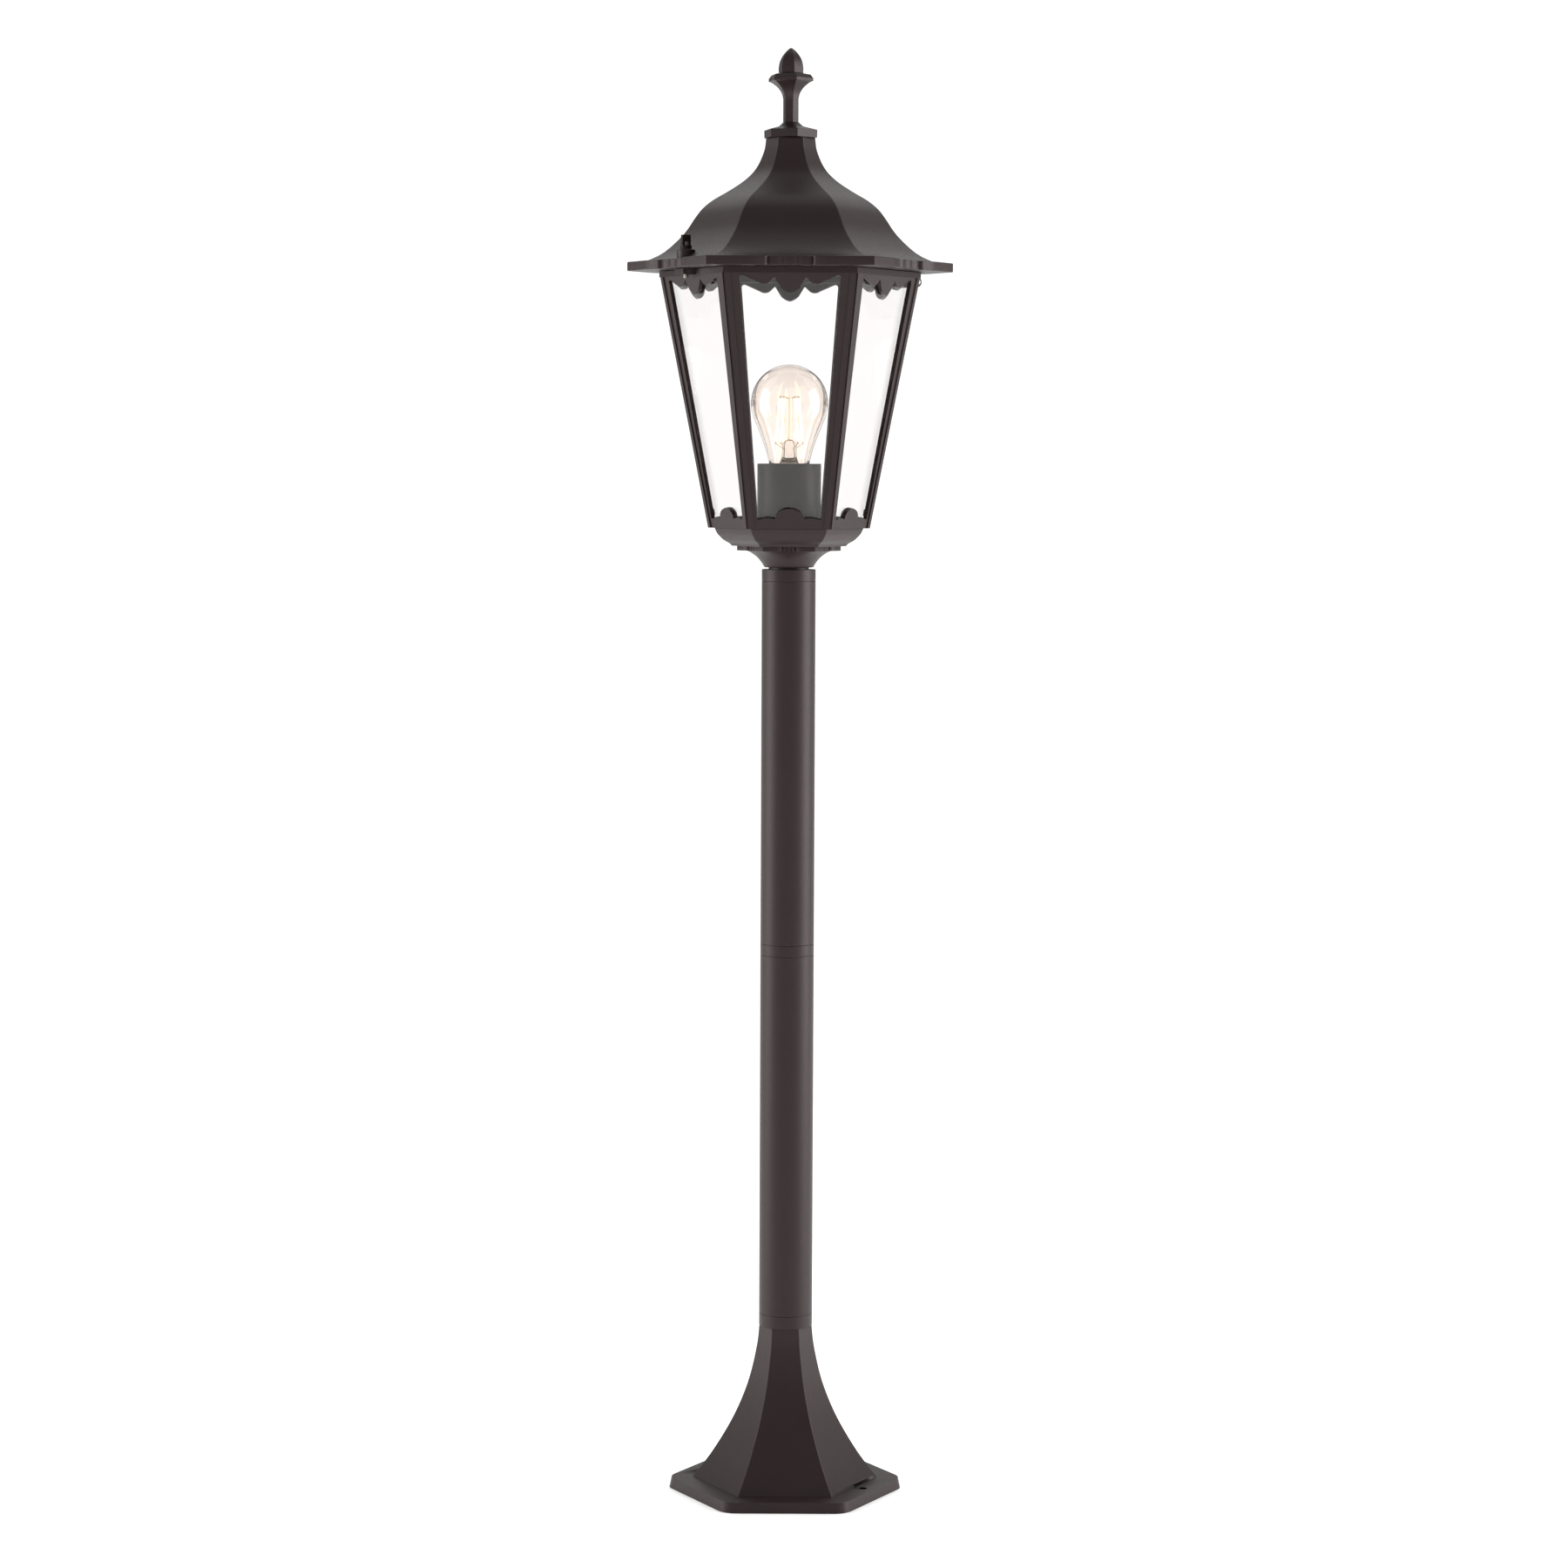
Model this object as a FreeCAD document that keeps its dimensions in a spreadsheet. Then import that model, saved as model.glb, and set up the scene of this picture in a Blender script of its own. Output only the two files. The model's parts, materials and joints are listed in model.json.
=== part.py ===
"""A hexagonal post lantern: base, two-part pole, glazed cage, hinged roof, lampholder and bulb.

Millimetres, +Z up, origin at the centre of the foot's underside. Every hexagon has a flat side
towards -Y and corners on the X axis. The driving sizes are in the Sizes spreadsheet.
"""

import FreeCAD, Part
import math
import os
import re

import Sketcher

# ---------------------------------------------------------------- driving sizes

SIZES = {
    # base casting
    "foot_radius": (94.0, "corner radius of the foot before rounding"),
    "foot_height": (8.2, "height of the foot plate"),
    "foot_rounding": (14.0, "radius of the foot's corners in plan"),
    "foot_draft": (10.0, "degrees that the foot's sides lean in"),
    "base_height": (131.0, "height of the base casting's shoulder"),
    "base_toe_radius": (73.4, "corner radius of the pedestal where it meets the foot"),
    "base_wall": (4.2, "wall of the pedestal, measured at the corners"),
    "fixing_circle": (142.0, "diameter of the circle through the fixing holes"),
    "fixing_hole_radius": (3.0, "radius of a fixing hole"),
    # pole
    "pole_radius": (21.0, "outside radius of the pole"),
    "pole_wall": (2.0, "wall of the pole tubes"),
    "fit_gap": (0.1, "radial gap between a spigot and its socket"),
    "spigot_length": (22.0, "length of a spigot inside a tube"),
    "stub_radius": (13.0, "radius of a threaded stub"),
    "cable_bore": (8.0, "radius of the cable way through the stubs"),
    "lower_tube_bottom": (141.0, "bottom of the lower tube"),
    "joint_bottom": (426.0, "bottom of the joint band"),
    "joint_top": (434.8, "top of the joint band"),
    "collar_bottom": (719.2, "bottom of the top collar's band"),
    "collar_top": (728.4, "top of the top collar"),
    # neck, bowl and the parts clamped between them
    "neck_spigot_radius": (15.7, "radius of the neck's spigot"),
    "neck_bottom": (730.0, "underside of the neck's flare"),
    "neck_top": (742.9, "top of the neck"),
    "trim_top": (746.5, "top of the scalloped trim"),
    "trim_radius": (40.5, "corner radius of the scalloped trim"),
    "bowl_radius": (58.2, "corner radius of the bowl's rim"),
    "bowl_floor": (3.0, "thickness of the bowl's floor"),
    "nipple_radius": (5.0, "radius of the hollow threaded tube"),
    # cage
    "cage_bottom": (760.5, "bottom edge of the cage"),
    "cage_top": (954.0, "top edge of the panel frames"),
    "cage_bottom_radius": (63.8, "corner radius of the cage's bottom edge"),
    "cage_top_radius": (101.4, "corner radius of the cage's top edge"),
    "frame_depth": (4.0, "thickness of a panel frame"),
    "bead_height": (1.0, "how far a stile's bead stands out"),
    "pane_thickness": (2.2, "thickness of a glass pane"),
    "ring_top": (958.4, "top face of the top ring"),
    # roof
    "eave_bottom": (958.7, "underside of the eave"),
    "eave_top": (965.7, "top of the eave's edge"),
    "roof_top": (1061.3, "top of the roof casting"),
    "roof_radius": (126.5, "corner radius of the eave"),
    "roof_wall": (3.0, "wall of the roof casting"),
    "roof_crown": (8.0, "thickness of the roof's crown under the finial"),
    "screw_distance": (92.0, "distance of the thumb screw from the lantern's axis"),
    "screw_radius": (2.0, "radius of the thumb screw's shank"),
    "boss_top": (973.2, "top of the thumb screw's boss"),
    "hinge_distance": (100.0, "distance of the hinge pin from the lantern's axis"),
    "hinge_height": (952.5, "height of the hinge pin"),
    "hinge_pin_radius": (2.0, "radius of the hinge pin"),
    # finial
    "finial_top": (1130.0, "tip of the finial"),
    "finial_turn": (-16.6, "degrees that the finial is turned from the roof's hexagon"),
    # lampholder and bulb
    "cup_radius": (24.8, "outside radius of the lampholder's cup"),
    "cup_top": (810.6, "rim of the lampholder's cup"),
    "bulb_top": (887.3, "top of the bulb"),
    "bulb_radius": (30.0, "radius of the bulb's globe"),
    "bulb_bottom": (781.0, "underside of the bulb's contact"),
    "bulb_cap_radius": (13.1, "radius of the bulb's screw cap"),
}

# Outlines of the hexagonal castings, as fractions of the corner radius and of the height.
ROOF_OUTLINE = [
    (0.936, -0.02), (0.877, 0.012), (0.772, 0.081), (0.655, 0.223), (0.583, 0.359),
    (0.539, 0.432), (0.476, 0.500), (0.387, 0.568), (0.301, 0.641), (0.240, 0.710),
    (0.202, 0.777), (0.176, 0.850), (0.159, 0.919), (0.152, 1.000),
]
PEDESTAL_OUTLINE = [
    (1.000, 0.000), (0.789, 0.166), (0.562, 0.396), (0.404, 0.626), (0.313, 0.855), (0.285, 1.000),
]
BOWL_OUTLINE = [
    (0.770, 746.5), (0.797, 748.3), (0.876, 751.0), (0.928, 753.7), (0.967, 756.4), (1.000, 760.4),
]
ACORN_OUTLINE = [(10.0, 1111.0), (10.1, 1115.0), (9.1, 1119.9), (7.1, 1123.9), (1.0, "finial_top")]
CUP_TOP_OUTLINE = [(18.1, 1106.8), (16.0, 1109.5), (10.6, 1112.0)]
CUP_OUTLINE = [(6.3, 1091.0), (7.5, 1095.5), (10.7, 1100.0), (15.4, 1103.6), (18.1, 1104.6)]
CAP_PLATE_OUTLINE = [(21.4, 1061.3), (21.6, 1067.3)]
CAP_SLOPE_OUTLINE = [(21.6, 1067.3), (10.0, 1070.2), (6.3, 1073.5)]

SIDES = ["rear_right", "rear", "rear_left", "front_left", "front", "front_right"]
SIDE_ANGLES = [30, 90, 150, 210, 270, 330]
HINGE_ANGLE = 30
SCREW_ANGLE = 210
FIXING_ANGLES = [-30, 150]
LEAF_SCREW_DISTANCE = 105.2
LEAF_SCREW_OFFSETS = (-7.0, 7.0)
BRACKET_SCREW_HEIGHT = 956.2
BRACKET_SCREW_OFFSETS = (-20.0, 20.0)
FLOOR_SCREW_HEIGHT = 763.5
RING_SCREW_TIP = 950.7
RING_SCREW_SINK = 956.6
RING_SCREW_INSET = 3.0
RING_SCREW_RADIUS = 0.65
TERMINAL_SCREW_OFFSETS = (-30.0, 30.0)
EAVE_SCALLOP = 5.5
TRIM_SCALLOP = 2.8

doc = FreeCAD.newDocument("PostLantern")
sheet = doc.addObject("Spreadsheet::Sheet", "Sizes")
for row, (alias, (number, meaning)) in enumerate(SIZES.items(), start=1):
    sheet.set(f"A{row}", meaning)
    sheet.set(f"B{row}", str(number))
    sheet.setAlias(f"B{row}", alias)
doc.recompute()

PARTS = []


# ---------------------------------------------------------------- shared helpers

def bound(text):
    """The expression with each size's name led by the sheet's name."""
    return re.sub(r"[a-z_]+", lambda w: f"Sizes.{w[0]}" if w[0] in SIZES else w[0], str(text))


def value(text):
    """The number that an expression of sizes gives now."""
    names = {alias: number for alias, (number, _) in SIZES.items()}
    words = {w: names[w] for w in re.findall(r"[a-z_]+", str(text)) if w in names}
    total = re.sub(r"[a-z_]+", lambda w: repr(words.get(w[0], w[0])), str(text))
    return float(FreeCAD.Units.Quantity(total).Value)


def keep(shape_object, label):
    """Marks an object as a finished piece with its own label."""
    shape_object.Label = label
    PARTS.append(shape_object)
    return shape_object


def lift(thing, height):
    """Binds an object's height to an expression."""
    thing.setExpression("Placement.Base.z", bound(height))


def turned_about_z(angle, x=0.0, y=0.0, z=0.0):
    """A placement at (x, y, z) turned as a whole about the lantern's axis."""
    spin = FreeCAD.Rotation(FreeCAD.Vector(0, 0, 1), angle)
    return FreeCAD.Placement(spin.multVec(FreeCAD.Vector(x, y, z)), spin)


def origin_plane(body, role):
    return [f for f in body.Origin.OriginFeatures if f.Role == role][0]


def new_body(name):
    return doc.addObject("PartDesign::Body", name)


def pin_point(sketch, edge, end, x, y):
    """Fixes one point of a sketch to the two expressions."""
    for axis, line, text in (("X", -2, x), ("Y", -1, y)):
        number = value(text)
        if abs(number) < 1e-9:
            sketch.addConstraint(Sketcher.Constraint("PointOnObject", edge, end, line))
            continue
        rule = Sketcher.Constraint("Distance" + axis, -1, 1, edge, end, number)
        index = sketch.addConstraint(rule)
        sketch.setExpression(f"Constraints[{index}]", bound(text))


def add_outline(sketch, corners):
    """A closed outline. A corner is (x, y), or (x, y, (through_x, through_y)) to leave by an arc."""
    points = [FreeCAD.Vector(value(c[0]), value(c[1]), 0) for c in corners]
    ends = []
    for i, corner in enumerate(corners):
        start, stop = points[i], points[(i + 1) % len(points)]
        if len(corner) == 2:
            edge = sketch.addGeometry(Part.LineSegment(start, stop))
            ends.append((edge, 1, 2))
            continue
        through = FreeCAD.Vector(value(corner[2][0]), value(corner[2][1]), 0)
        edge = sketch.addGeometry(Part.Arc(start, through, stop))
        forwards = (sketch.getPoint(edge, 1) - start).Length < 1e-6
        ends.append((edge, 1, 2) if forwards else (edge, 2, 1))
        mark = sketch.addGeometry(Part.Point(through), True)
        pin_point(sketch, mark, 1, *corner[2])
        sketch.addConstraint(Sketcher.Constraint("PointOnObject", mark, 1, edge))
    for i, (edge, first, last) in enumerate(ends):
        following, following_first, _ = ends[(i + 1) % len(ends)]
        sketch.addConstraint(Sketcher.Constraint("Coincident", edge, last, following, following_first))
        pin_point(sketch, edge, first, *corners[i][:2])


def new_sketch(body, role, *outlines, depth=0.0):
    """A sketch on one of the body's origin planes, moved along its normal by depth."""
    sketch = body.newObject("Sketcher::SketchObject", body.Name + "_sketch")
    sketch.AttachmentSupport = (origin_plane(body, role), [""])
    sketch.MapMode = "FlatFace"
    sketch.AttachmentOffset = FreeCAD.Placement(FreeCAD.Vector(0, 0, depth), FreeCAD.Rotation())
    for corners in outlines:
        add_outline(sketch, corners)
    return sketch


def turned(name, corners):
    """A body turned about Z from an outline of (radius, height) corners."""
    body = new_body(name)
    sketch = new_sketch(body, "XZ_Plane", corners)
    spin = body.newObject("PartDesign::Revolution", name + "_turn")
    spin.Profile = sketch
    spin.ReferenceAxis = (sketch, ["V_Axis"])
    spin.Angle = 360
    return body


def tube(name, outer, inner, bottom, top):
    """A turned ring or tube between two heights."""
    return turned(name, [(inner, bottom), (outer, bottom), (outer, top), (inner, top)])


def plate(name, outline, thickness, role="XY_Plane", depth=0.0, back=False, holes=()):
    """A body padded from an outline and any holes."""
    body = new_body(name)
    sketch = new_sketch(body, role, outline, *holes, depth=depth)
    pad = body.newObject("PartDesign::Pad", name + "_pad")
    pad.Profile = sketch
    pad.Length = value(thickness)
    pad.setExpression("Length", bound(thickness))
    pad.Reversed = back
    return body


def rectangle(x0, x1, y0, y1):
    return [(x0, y0), (x1, y0), (x1, y1), (x0, y1)]


def cylinder(name, radius, height, bottom, x=0.0, y=0.0):
    rod = doc.addObject("Part::Cylinder", name)
    rod.setExpression("Radius", bound(radius))
    rod.setExpression("Height", bound(height))
    rod.Placement.Base = FreeCAD.Vector(x, y, 0)
    lift(rod, bottom)
    return rod


def rod_across(name, radius, length, distance, height, angle, across=0.0):
    """A cylinder lying radially, starting at a distance from the axis and pointing outwards."""
    rod = doc.addObject("Part::Cylinder", name)
    rod.setExpression("Radius", bound(radius))
    rod.setExpression("Height", bound(length))
    lay = FreeCAD.Rotation(FreeCAD.Vector(0, 1, 0), 90)
    place = turned_about_z(angle, value(distance), across, value(height))
    rod.Placement = FreeCAD.Placement(place.Base, place.Rotation.multiply(lay))
    return rod


def block(name, length, width, height, x, y, z, angle=0.0):
    """A box given by its low corner before it is turned about the axis."""
    box = doc.addObject("Part::Box", name)
    for side, text in (("Length", length), ("Width", width), ("Height", height)):
        box.setExpression(side, bound(text))
    box.Placement = turned_about_z(angle, value(x), value(y), value(z))
    return box


def fuse(name, *shapes):
    joined = doc.addObject("Part::MultiFuse", name)
    joined.Shapes = list(shapes)
    joined.Refine = False
    return joined


def cut(name, base, *tools):
    """The base with one tool, or several fused tools, taken away."""
    carved = doc.addObject("Part::Cut", name)
    carved.Base = base
    carved.Tool = tools[0] if len(tools) == 1 else fuse(name + "_tools", *tools)
    return carved


def group(name, shapes):
    """Several separate solids in one piece, for identical fasteners."""
    bundle = doc.addObject("Part::Compound", name)
    bundle.Links = list(shapes)
    return bundle


def hex_loft(name, sections, turn=0.0, straight=False):
    """A hexagonal solid through (corner radius, height) sections."""
    wires = []
    for i, (radius, height) in enumerate(sections):
        wire = doc.addObject("Part::RegularPolygon", f"{name}_section_{i}")
        wire.Polygon = 6
        wire.setExpression("Circumradius", bound(radius))
        wire.Placement = turned_about_z(turn)
        lift(wire, height)
        wires.append(wire)
    loft = doc.addObject("Part::Loft", name)
    loft.Sections = wires
    loft.Solid = True
    loft.Ruled = straight
    return loft


def inset_outline(points, wall):
    """Points moved in from a (radius, height) outline by a wall, square to the outline."""
    moved = []
    for i, (radius, height) in enumerate(points):
        before = points[max(i - 1, 0)]
        after = points[min(i + 1, len(points) - 1)]
        run, rise = after[0] - before[0], after[1] - before[1]
        length = math.hypot(run, rise)
        moved.append((radius - wall * rise / length, height + wall * run / length))
    return moved


def scalloped_side(radius, step, angle):
    """One side of a scalloped hexagon, from its first corner, with three shallow lobes."""
    apothem = radius * math.cos(math.pi / 6)
    half = radius / 2
    shallow = 0.7 * step
    profile = [
        (-half, 0.0, None), (-0.56 * half, 0.0, (-0.42 * half, 0.25 * shallow)),
        (-0.28 * half, shallow, None), (-0.26 * half, step, (-0.175 * half, shallow)),
        (-0.09 * half, step, (0.0, shallow)), (0.09 * half, step, (0.175 * half, shallow)),
        (0.26 * half, step, None), (0.28 * half, shallow, (0.42 * half, 0.25 * shallow)),
        (0.56 * half, 0.0, None),
    ]
    turn = math.radians(angle)

    def place(along, inwards):
        out = apothem - inwards
        x = out * math.cos(turn) - along * math.sin(turn)
        y = out * math.sin(turn) + along * math.cos(turn)
        return (round(x, 4), round(y, 4))

    side = []
    for along, inwards, through in profile:
        corner = place(along, inwards)
        side.append(corner if through is None else (*corner, place(*through)))
    return side


def scalloped_plate(name, radius, step, thickness, bottom):
    """A hexagonal plate whose sides have a scalloped middle."""
    outline = []
    for angle in SIDE_ANGLES:
        outline += scalloped_side(value(radius), step, angle)
    body = plate(name, outline, thickness)
    lift(body, bottom)
    return body


# ---------------------------------------------------------------- base

def base_casting():
    """Foot, flared pedestal, hollow inside, with a threaded stub for the pole."""
    foot = new_body("foot")
    corners = [(f"foot_radius * {round(math.cos(math.radians(a)), 6)}",
                f"foot_radius * {round(math.sin(math.radians(a)), 6)}") for a in range(0, 360, 60)]
    sketch = new_sketch(foot, "XY_Plane", corners)
    pad = foot.newObject("PartDesign::Pad", "foot_pad")
    pad.Profile = sketch
    pad.setExpression("Length", bound("foot_height"))
    pad.setExpression("TaperAngle", bound("-foot_draft"))
    doc.recompute()
    upright = [f"Edge{i}" for i, edge in enumerate(pad.Shape.Edges, start=1)
               if edge.BoundBox.ZLength > value("foot_height") / 2]
    rounding = foot.newObject("PartDesign::Fillet", "foot_rounding")
    rounding.Base = (pad, upright)
    rounding.setExpression("Radius", bound("foot_rounding"))
    rise = "(base_height - foot_height)"
    outer = hex_loft("pedestal_outer", [(f"base_toe_radius * {r}", f"foot_height + {rise} * {h}")
                                        for r, h in PEDESTAL_OUTLINE])
    below = [("base_toe_radius - base_wall", "-1")]
    inner = hex_loft("pedestal_hollow", below + [
        (f"base_toe_radius * {r} - base_wall", f"foot_height + {rise} * {h}")
        for r, h in PEDESTAL_OUTLINE[1:-1]])
    stub = cylinder("base_stub", "stub_radius", "19 + 2", "base_height - 2")
    bosses = [cylinder(f"boss_{i}", 5.0, 50.0, 12.0, x=x) for i, x in enumerate(TERMINAL_SCREW_OFFSETS)]
    holes = [cylinder("base_bore", "cable_bore", 90.0, 70.0)]
    for i, x in enumerate(TERMINAL_SCREW_OFFSETS):
        holes.append(cylinder(f"boss_hole_{i}", 1.6, 9.0, 11.0, x=x))
    for i, angle in enumerate(FIXING_ANGLES):
        hole = cylinder(f"fixing_hole_{i}", "fixing_hole_radius", 30.0, -1.0)
        hole.Placement = turned_about_z(angle, value("fixing_circle") / 2, 0, -1)
        holes.append(hole)
        holes.append(block(f"fixing_slot_{i}", 8.5, 7.0, 4.0,
                           value("fixing_circle") / 2 - 8.5, -3.5, value("foot_height") - 2, angle))
    shell = cut("base_shell", fuse("base_solid", foot, outer), inner)
    solid = fuse("base_with_bosses", shell, stub, *bosses)
    keep(cut("base", solid, *holes), "base_casting")


def base_fittings():
    """Terminal bracket, block, earth screw, cable clamp and the cable."""
    bar = plate("bracket_bar", rectangle(-38, 38, -8, 8), 2.5)
    bar.Placement.Base.z = 9.5
    holes = [cylinder(f"bracket_hole_{i}", 1.7, 5.0, 8.0, x=x) for i, x in enumerate(TERMINAL_SCREW_OFFSETS)]
    keep(cut("bracket", bar, *holes), "terminal_bracket")
    terminal = plate("terminal", rectangle(-14, 14, -7, 7), 14.0)
    terminal.Placement.Base.z = 12.0
    bore = cylinder("terminal_bore", 3.4, 4.0, 22.0)
    keep(cut("terminal_carved", terminal, bore), "terminal_block")
    screws = []
    for i, x in enumerate(TERMINAL_SCREW_OFFSETS):
        head = cylinder(f"bracket_screw_head_{i}", 3.2, 2.0, 7.5, x=x)
        shank = cylinder(f"bracket_screw_shank_{i}", 1.5, 10.0, 9.0, x=x)
        screws.append(fuse(f"bracket_screw_{i}", head, shank))
    keep(group("bracket_screw_set", screws), "bracket_screws")
    keep(cylinder("earth_head", 3.0, 2.4, 12.0, x=20.0), "earth_screw")
    keep(tube("clamp", 6.5, 3.3, 26.0, 32.0), "cable_clamp")
    keep(cylinder("cable", 3.2, "769.5 - 22", 22.0), "inner_cable")


# ---------------------------------------------------------------- pole

def pole():
    """Tubes, plugs, the screwed joint and the top collar."""
    inside = "pole_radius - pole_wall"
    spigot = f"{inside} - fit_gap"
    socket = "stub_radius + fit_gap"
    bottom, top = "lower_tube_bottom", "lower_tube_bottom + spigot_length"
    keep(turned("bottom_plug", [
        (socket, "base_height"), ("pole_radius", "base_height"), ("pole_radius", bottom),
        (spigot, bottom), (spigot, top), (socket, top)]), "pole_bottom_plug")
    keep(tube("lower_tube", "pole_radius", inside, bottom, "joint_bottom"), "pole_lower_tube")
    low = "joint_bottom - spigot_length"
    keep(turned("joint_socket", [
        (socket, low), (spigot, low), (spigot, "joint_bottom"), ("pole_radius", "joint_bottom"),
        ("pole_radius", "joint_top"), (socket, "joint_top")]), "pole_joint_socket")
    stub_bottom = "joint_top - spigot_length"
    plug_top = "joint_top + spigot_length"
    keep(turned("joint_stub", [
        ("cable_bore", stub_bottom), ("stub_radius", stub_bottom), ("stub_radius", "joint_top"),
        (spigot, "joint_top"), (spigot, plug_top), ("cable_bore", plug_top)]), "pole_joint_stub")
    keep(tube("upper_tube", "pole_radius", inside, "joint_top", "collar_bottom"),
         "pole_upper_tube")
    hole = "neck_spigot_radius + fit_gap"
    shelf = "collar_bottom - spigot_length + 3"
    collar = turned("top_collar", [
        (10.0, "collar_bottom - spigot_length"), (spigot, "collar_bottom - spigot_length"),
        (spigot, "collar_bottom"), ("pole_radius", "collar_bottom"),
        ("pole_radius", "collar_top"), (hole, "collar_top"), (hole, shelf), (10.0, shelf)])
    middle = "(collar_bottom + collar_top) / 2"
    keep(cut("collar_drilled", collar, rod_across("grub_hole", 2.1, 12.0, 14.0, middle, 90)),
         "pole_top_collar")
    keep(rod_across("grub", 2.0, 4.7, 15.95, middle, 90), "head_grub_screw")


# ---------------------------------------------------------------- neck, trim and bowl

def neck_and_bowl():
    """The pieces that the hollow threaded tube and its nuts clamp together."""
    shelf = "collar_bottom - spigot_length + 3"
    hole = "nipple_radius + fit_gap"
    keep(turned("neck_turned", [
        (12.0, shelf), ("neck_spigot_radius", shelf), ("neck_spigot_radius", "neck_bottom"),
        (19.2, "neck_bottom", (23.6, 736.5)), (33.1, "neck_top"),
        (hole, "neck_top"), (hole, 733.0), (12.0, 733.0)]), "neck")
    trim = scalloped_plate("trim_plate", "trim_radius", TRIM_SCALLOP, "trim_top - neck_top", "neck_top")
    keep(cut("trim", trim, cylinder("trim_hole", hole, 8.0, 741.0)), "scalloped_trim")
    outer = hex_loft("bowl_outer", [(f"bowl_radius * {r}", z) for r, z in BOWL_OUTLINE])
    inner = hex_loft("bowl_hollow", [
        (43.5, "trim_top + bowl_floor"), (49.0, 752.5), (53.6, 757.0), (55.2, 762.0)])
    bowl_hole = cylinder("bowl_hole", hole, 8.0, 745.0)
    keep(cut("bowl_shell", outer, inner, bowl_hole), "bowl")
    keep(tube("nipple", "nipple_radius", 4.0, 722.0, 766.0), "threaded_tube")
    nuts = []
    for i, bottom in enumerate((727.9, 751.6)):
        flats = doc.addObject("Part::Prism", f"tube_nut_blank_{i}")
        flats.Polygon = 6
        flats.Circumradius = 8.1
        flats.Height = 5.0
        flats.Placement.Base.z = bottom
        nuts.append(cut(f"tube_nut_{i}", flats, cylinder(f"nut_bore_{i}", hole, 9.0, bottom - 2)))
    keep(group("tube_nut_pair", nuts), "tube_nuts")


# ---------------------------------------------------------------- lampholder

def lampholder():
    """Cup, porcelain body, screw shell, contact and terminals."""
    hole = "nipple_radius + fit_gap"
    floor = "trim_top + bowl_floor"
    keep(turned("cup", [
        (hole, floor), ("cup_radius", floor), ("cup_radius", "cup_top"),
        ("cup_radius - 1.2", "cup_top"), ("cup_radius - 1.2", f"{floor} + 2"),
        (hole, f"{floor} + 2")]), "lampholder_cup")
    porcelain = turned("porcelain", [
        (hole, 762.0), (22.0, 762.0), (22.0, 804.0), (14.1, 804.0), (14.1, 779.0), (0.0, 779.0),
        (0.0, 776.0), (15.0, 776.0), (15.0, 766.0), (hole, 766.0)])
    keep(porcelain, "lampholder_body")
    keep(tube("screw_shell", 14.0, 13.45, 784.0, 803.0), "lampholder_shell")
    keep(cylinder("centre_contact", 5.0, 1.7, 779.0), "lampholder_contact")
    keep(group("terminals", [block(f"terminal_{i}", 5.0, 6.0, 6.0, x - 2.5, -3.0, 770.0)
                             for i, x in enumerate((-9.0, 9.0))]), "lampholder_terminals")


# ---------------------------------------------------------------- bulb

def bulb():
    """Glass, cap, insulator, contact, stem and four filaments."""
    middle = value("bulb_top") - value("bulb_radius")

    def on_globe(degrees, radius):
        turn = math.radians(degrees)
        return (radius * math.cos(turn), middle + radius * math.sin(turn))

    radius = value("bulb_radius")
    inner = radius - 0.8
    low, low_inner = on_globe(-25, radius), on_globe(-25, inner)
    keep(turned("glass", [
        (13.6, 806.0), (14.6, 806.0), (17.6, 819.0, (21.9, 831.5)),
        (*low, on_globe(30, radius)), (0.0, "bulb_top"), (0.0, "bulb_top - 0.8", on_globe(30, inner)),
        (*low_inner, (21.0, 831.9)), (16.7, 819.2)]), "bulb_glass")
    keep(turned("cap", [
        (5.2, 783.6), (8.0, 783.6), ("bulb_cap_radius", 787.5), ("bulb_cap_radius", 804.3),
        (14.6, 805.3), (14.6, 806.0), (12.2, 806.0), (12.2, 788.3), (7.7, 784.6), (5.2, 784.6)]),
        "bulb_cap")
    keep(turned("insulator", [(2.5, 782.7), (6.5, 782.7), (7.9, 783.6), (5.1, 783.6),
                              (5.1, 784.2), (2.5, 784.2)]), "bulb_insulator")
    keep(cylinder("tip", 4.4, 1.4, "bulb_bottom"), "bulb_contact")
    keep(turned("stem", [
        (0.0, 806.0), (13.5, 806.0), (13.5, 806.8), (6.0, 815.0), (5.5, 826.0), (1.6, 829.0),
        (1.6, 862.0), (0.0, 862.0)]), "bulb_stem")
    strips = []
    for i, angle in enumerate((45, 135, 225, 315)):
        strip = doc.addObject("Part::Cylinder", f"filament_{i}")
        strip.Radius = 0.9
        strip.Height = 36.0
        lean = FreeCAD.Rotation(FreeCAD.Vector(0, 1, 0), -6.3)
        place = turned_about_z(angle, 12.3, 0, 826.5)
        strip.Placement = FreeCAD.Placement(place.Base, place.Rotation.multiply(lean))
        strips.append(strip)
    keep(group("filament_set", strips), "bulb_filaments")


# ---------------------------------------------------------------- cage

BOTTOM_FACE = "cage_bottom_radius * 0.866025"
TOP_FACE = "cage_top_radius * 0.866025"


def lean_angle():
    """How far a panel leans outwards, in degrees."""
    run = value(TOP_FACE) - value(BOTTOM_FACE)
    return math.degrees(math.atan2(run, value("cage_top") - value("cage_bottom")))


def panel_placement(angle):
    """Seats a piece drawn facing -Y, with its lower edge at the origin, on one side of the cage."""
    lean = FreeCAD.Rotation(FreeCAD.Vector(1, 0, 0), lean_angle())
    place = turned_about_z(angle + 90, 0, -value(BOTTOM_FACE), value("cage_bottom"))
    return FreeCAD.Placement(place.Base, place.Rotation.multiply(lean))


def up(height):
    """The distance along a leaning panel at a height above the origin."""
    return round((height - value("cage_bottom")) / math.cos(math.radians(lean_angle())), 3)


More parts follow.
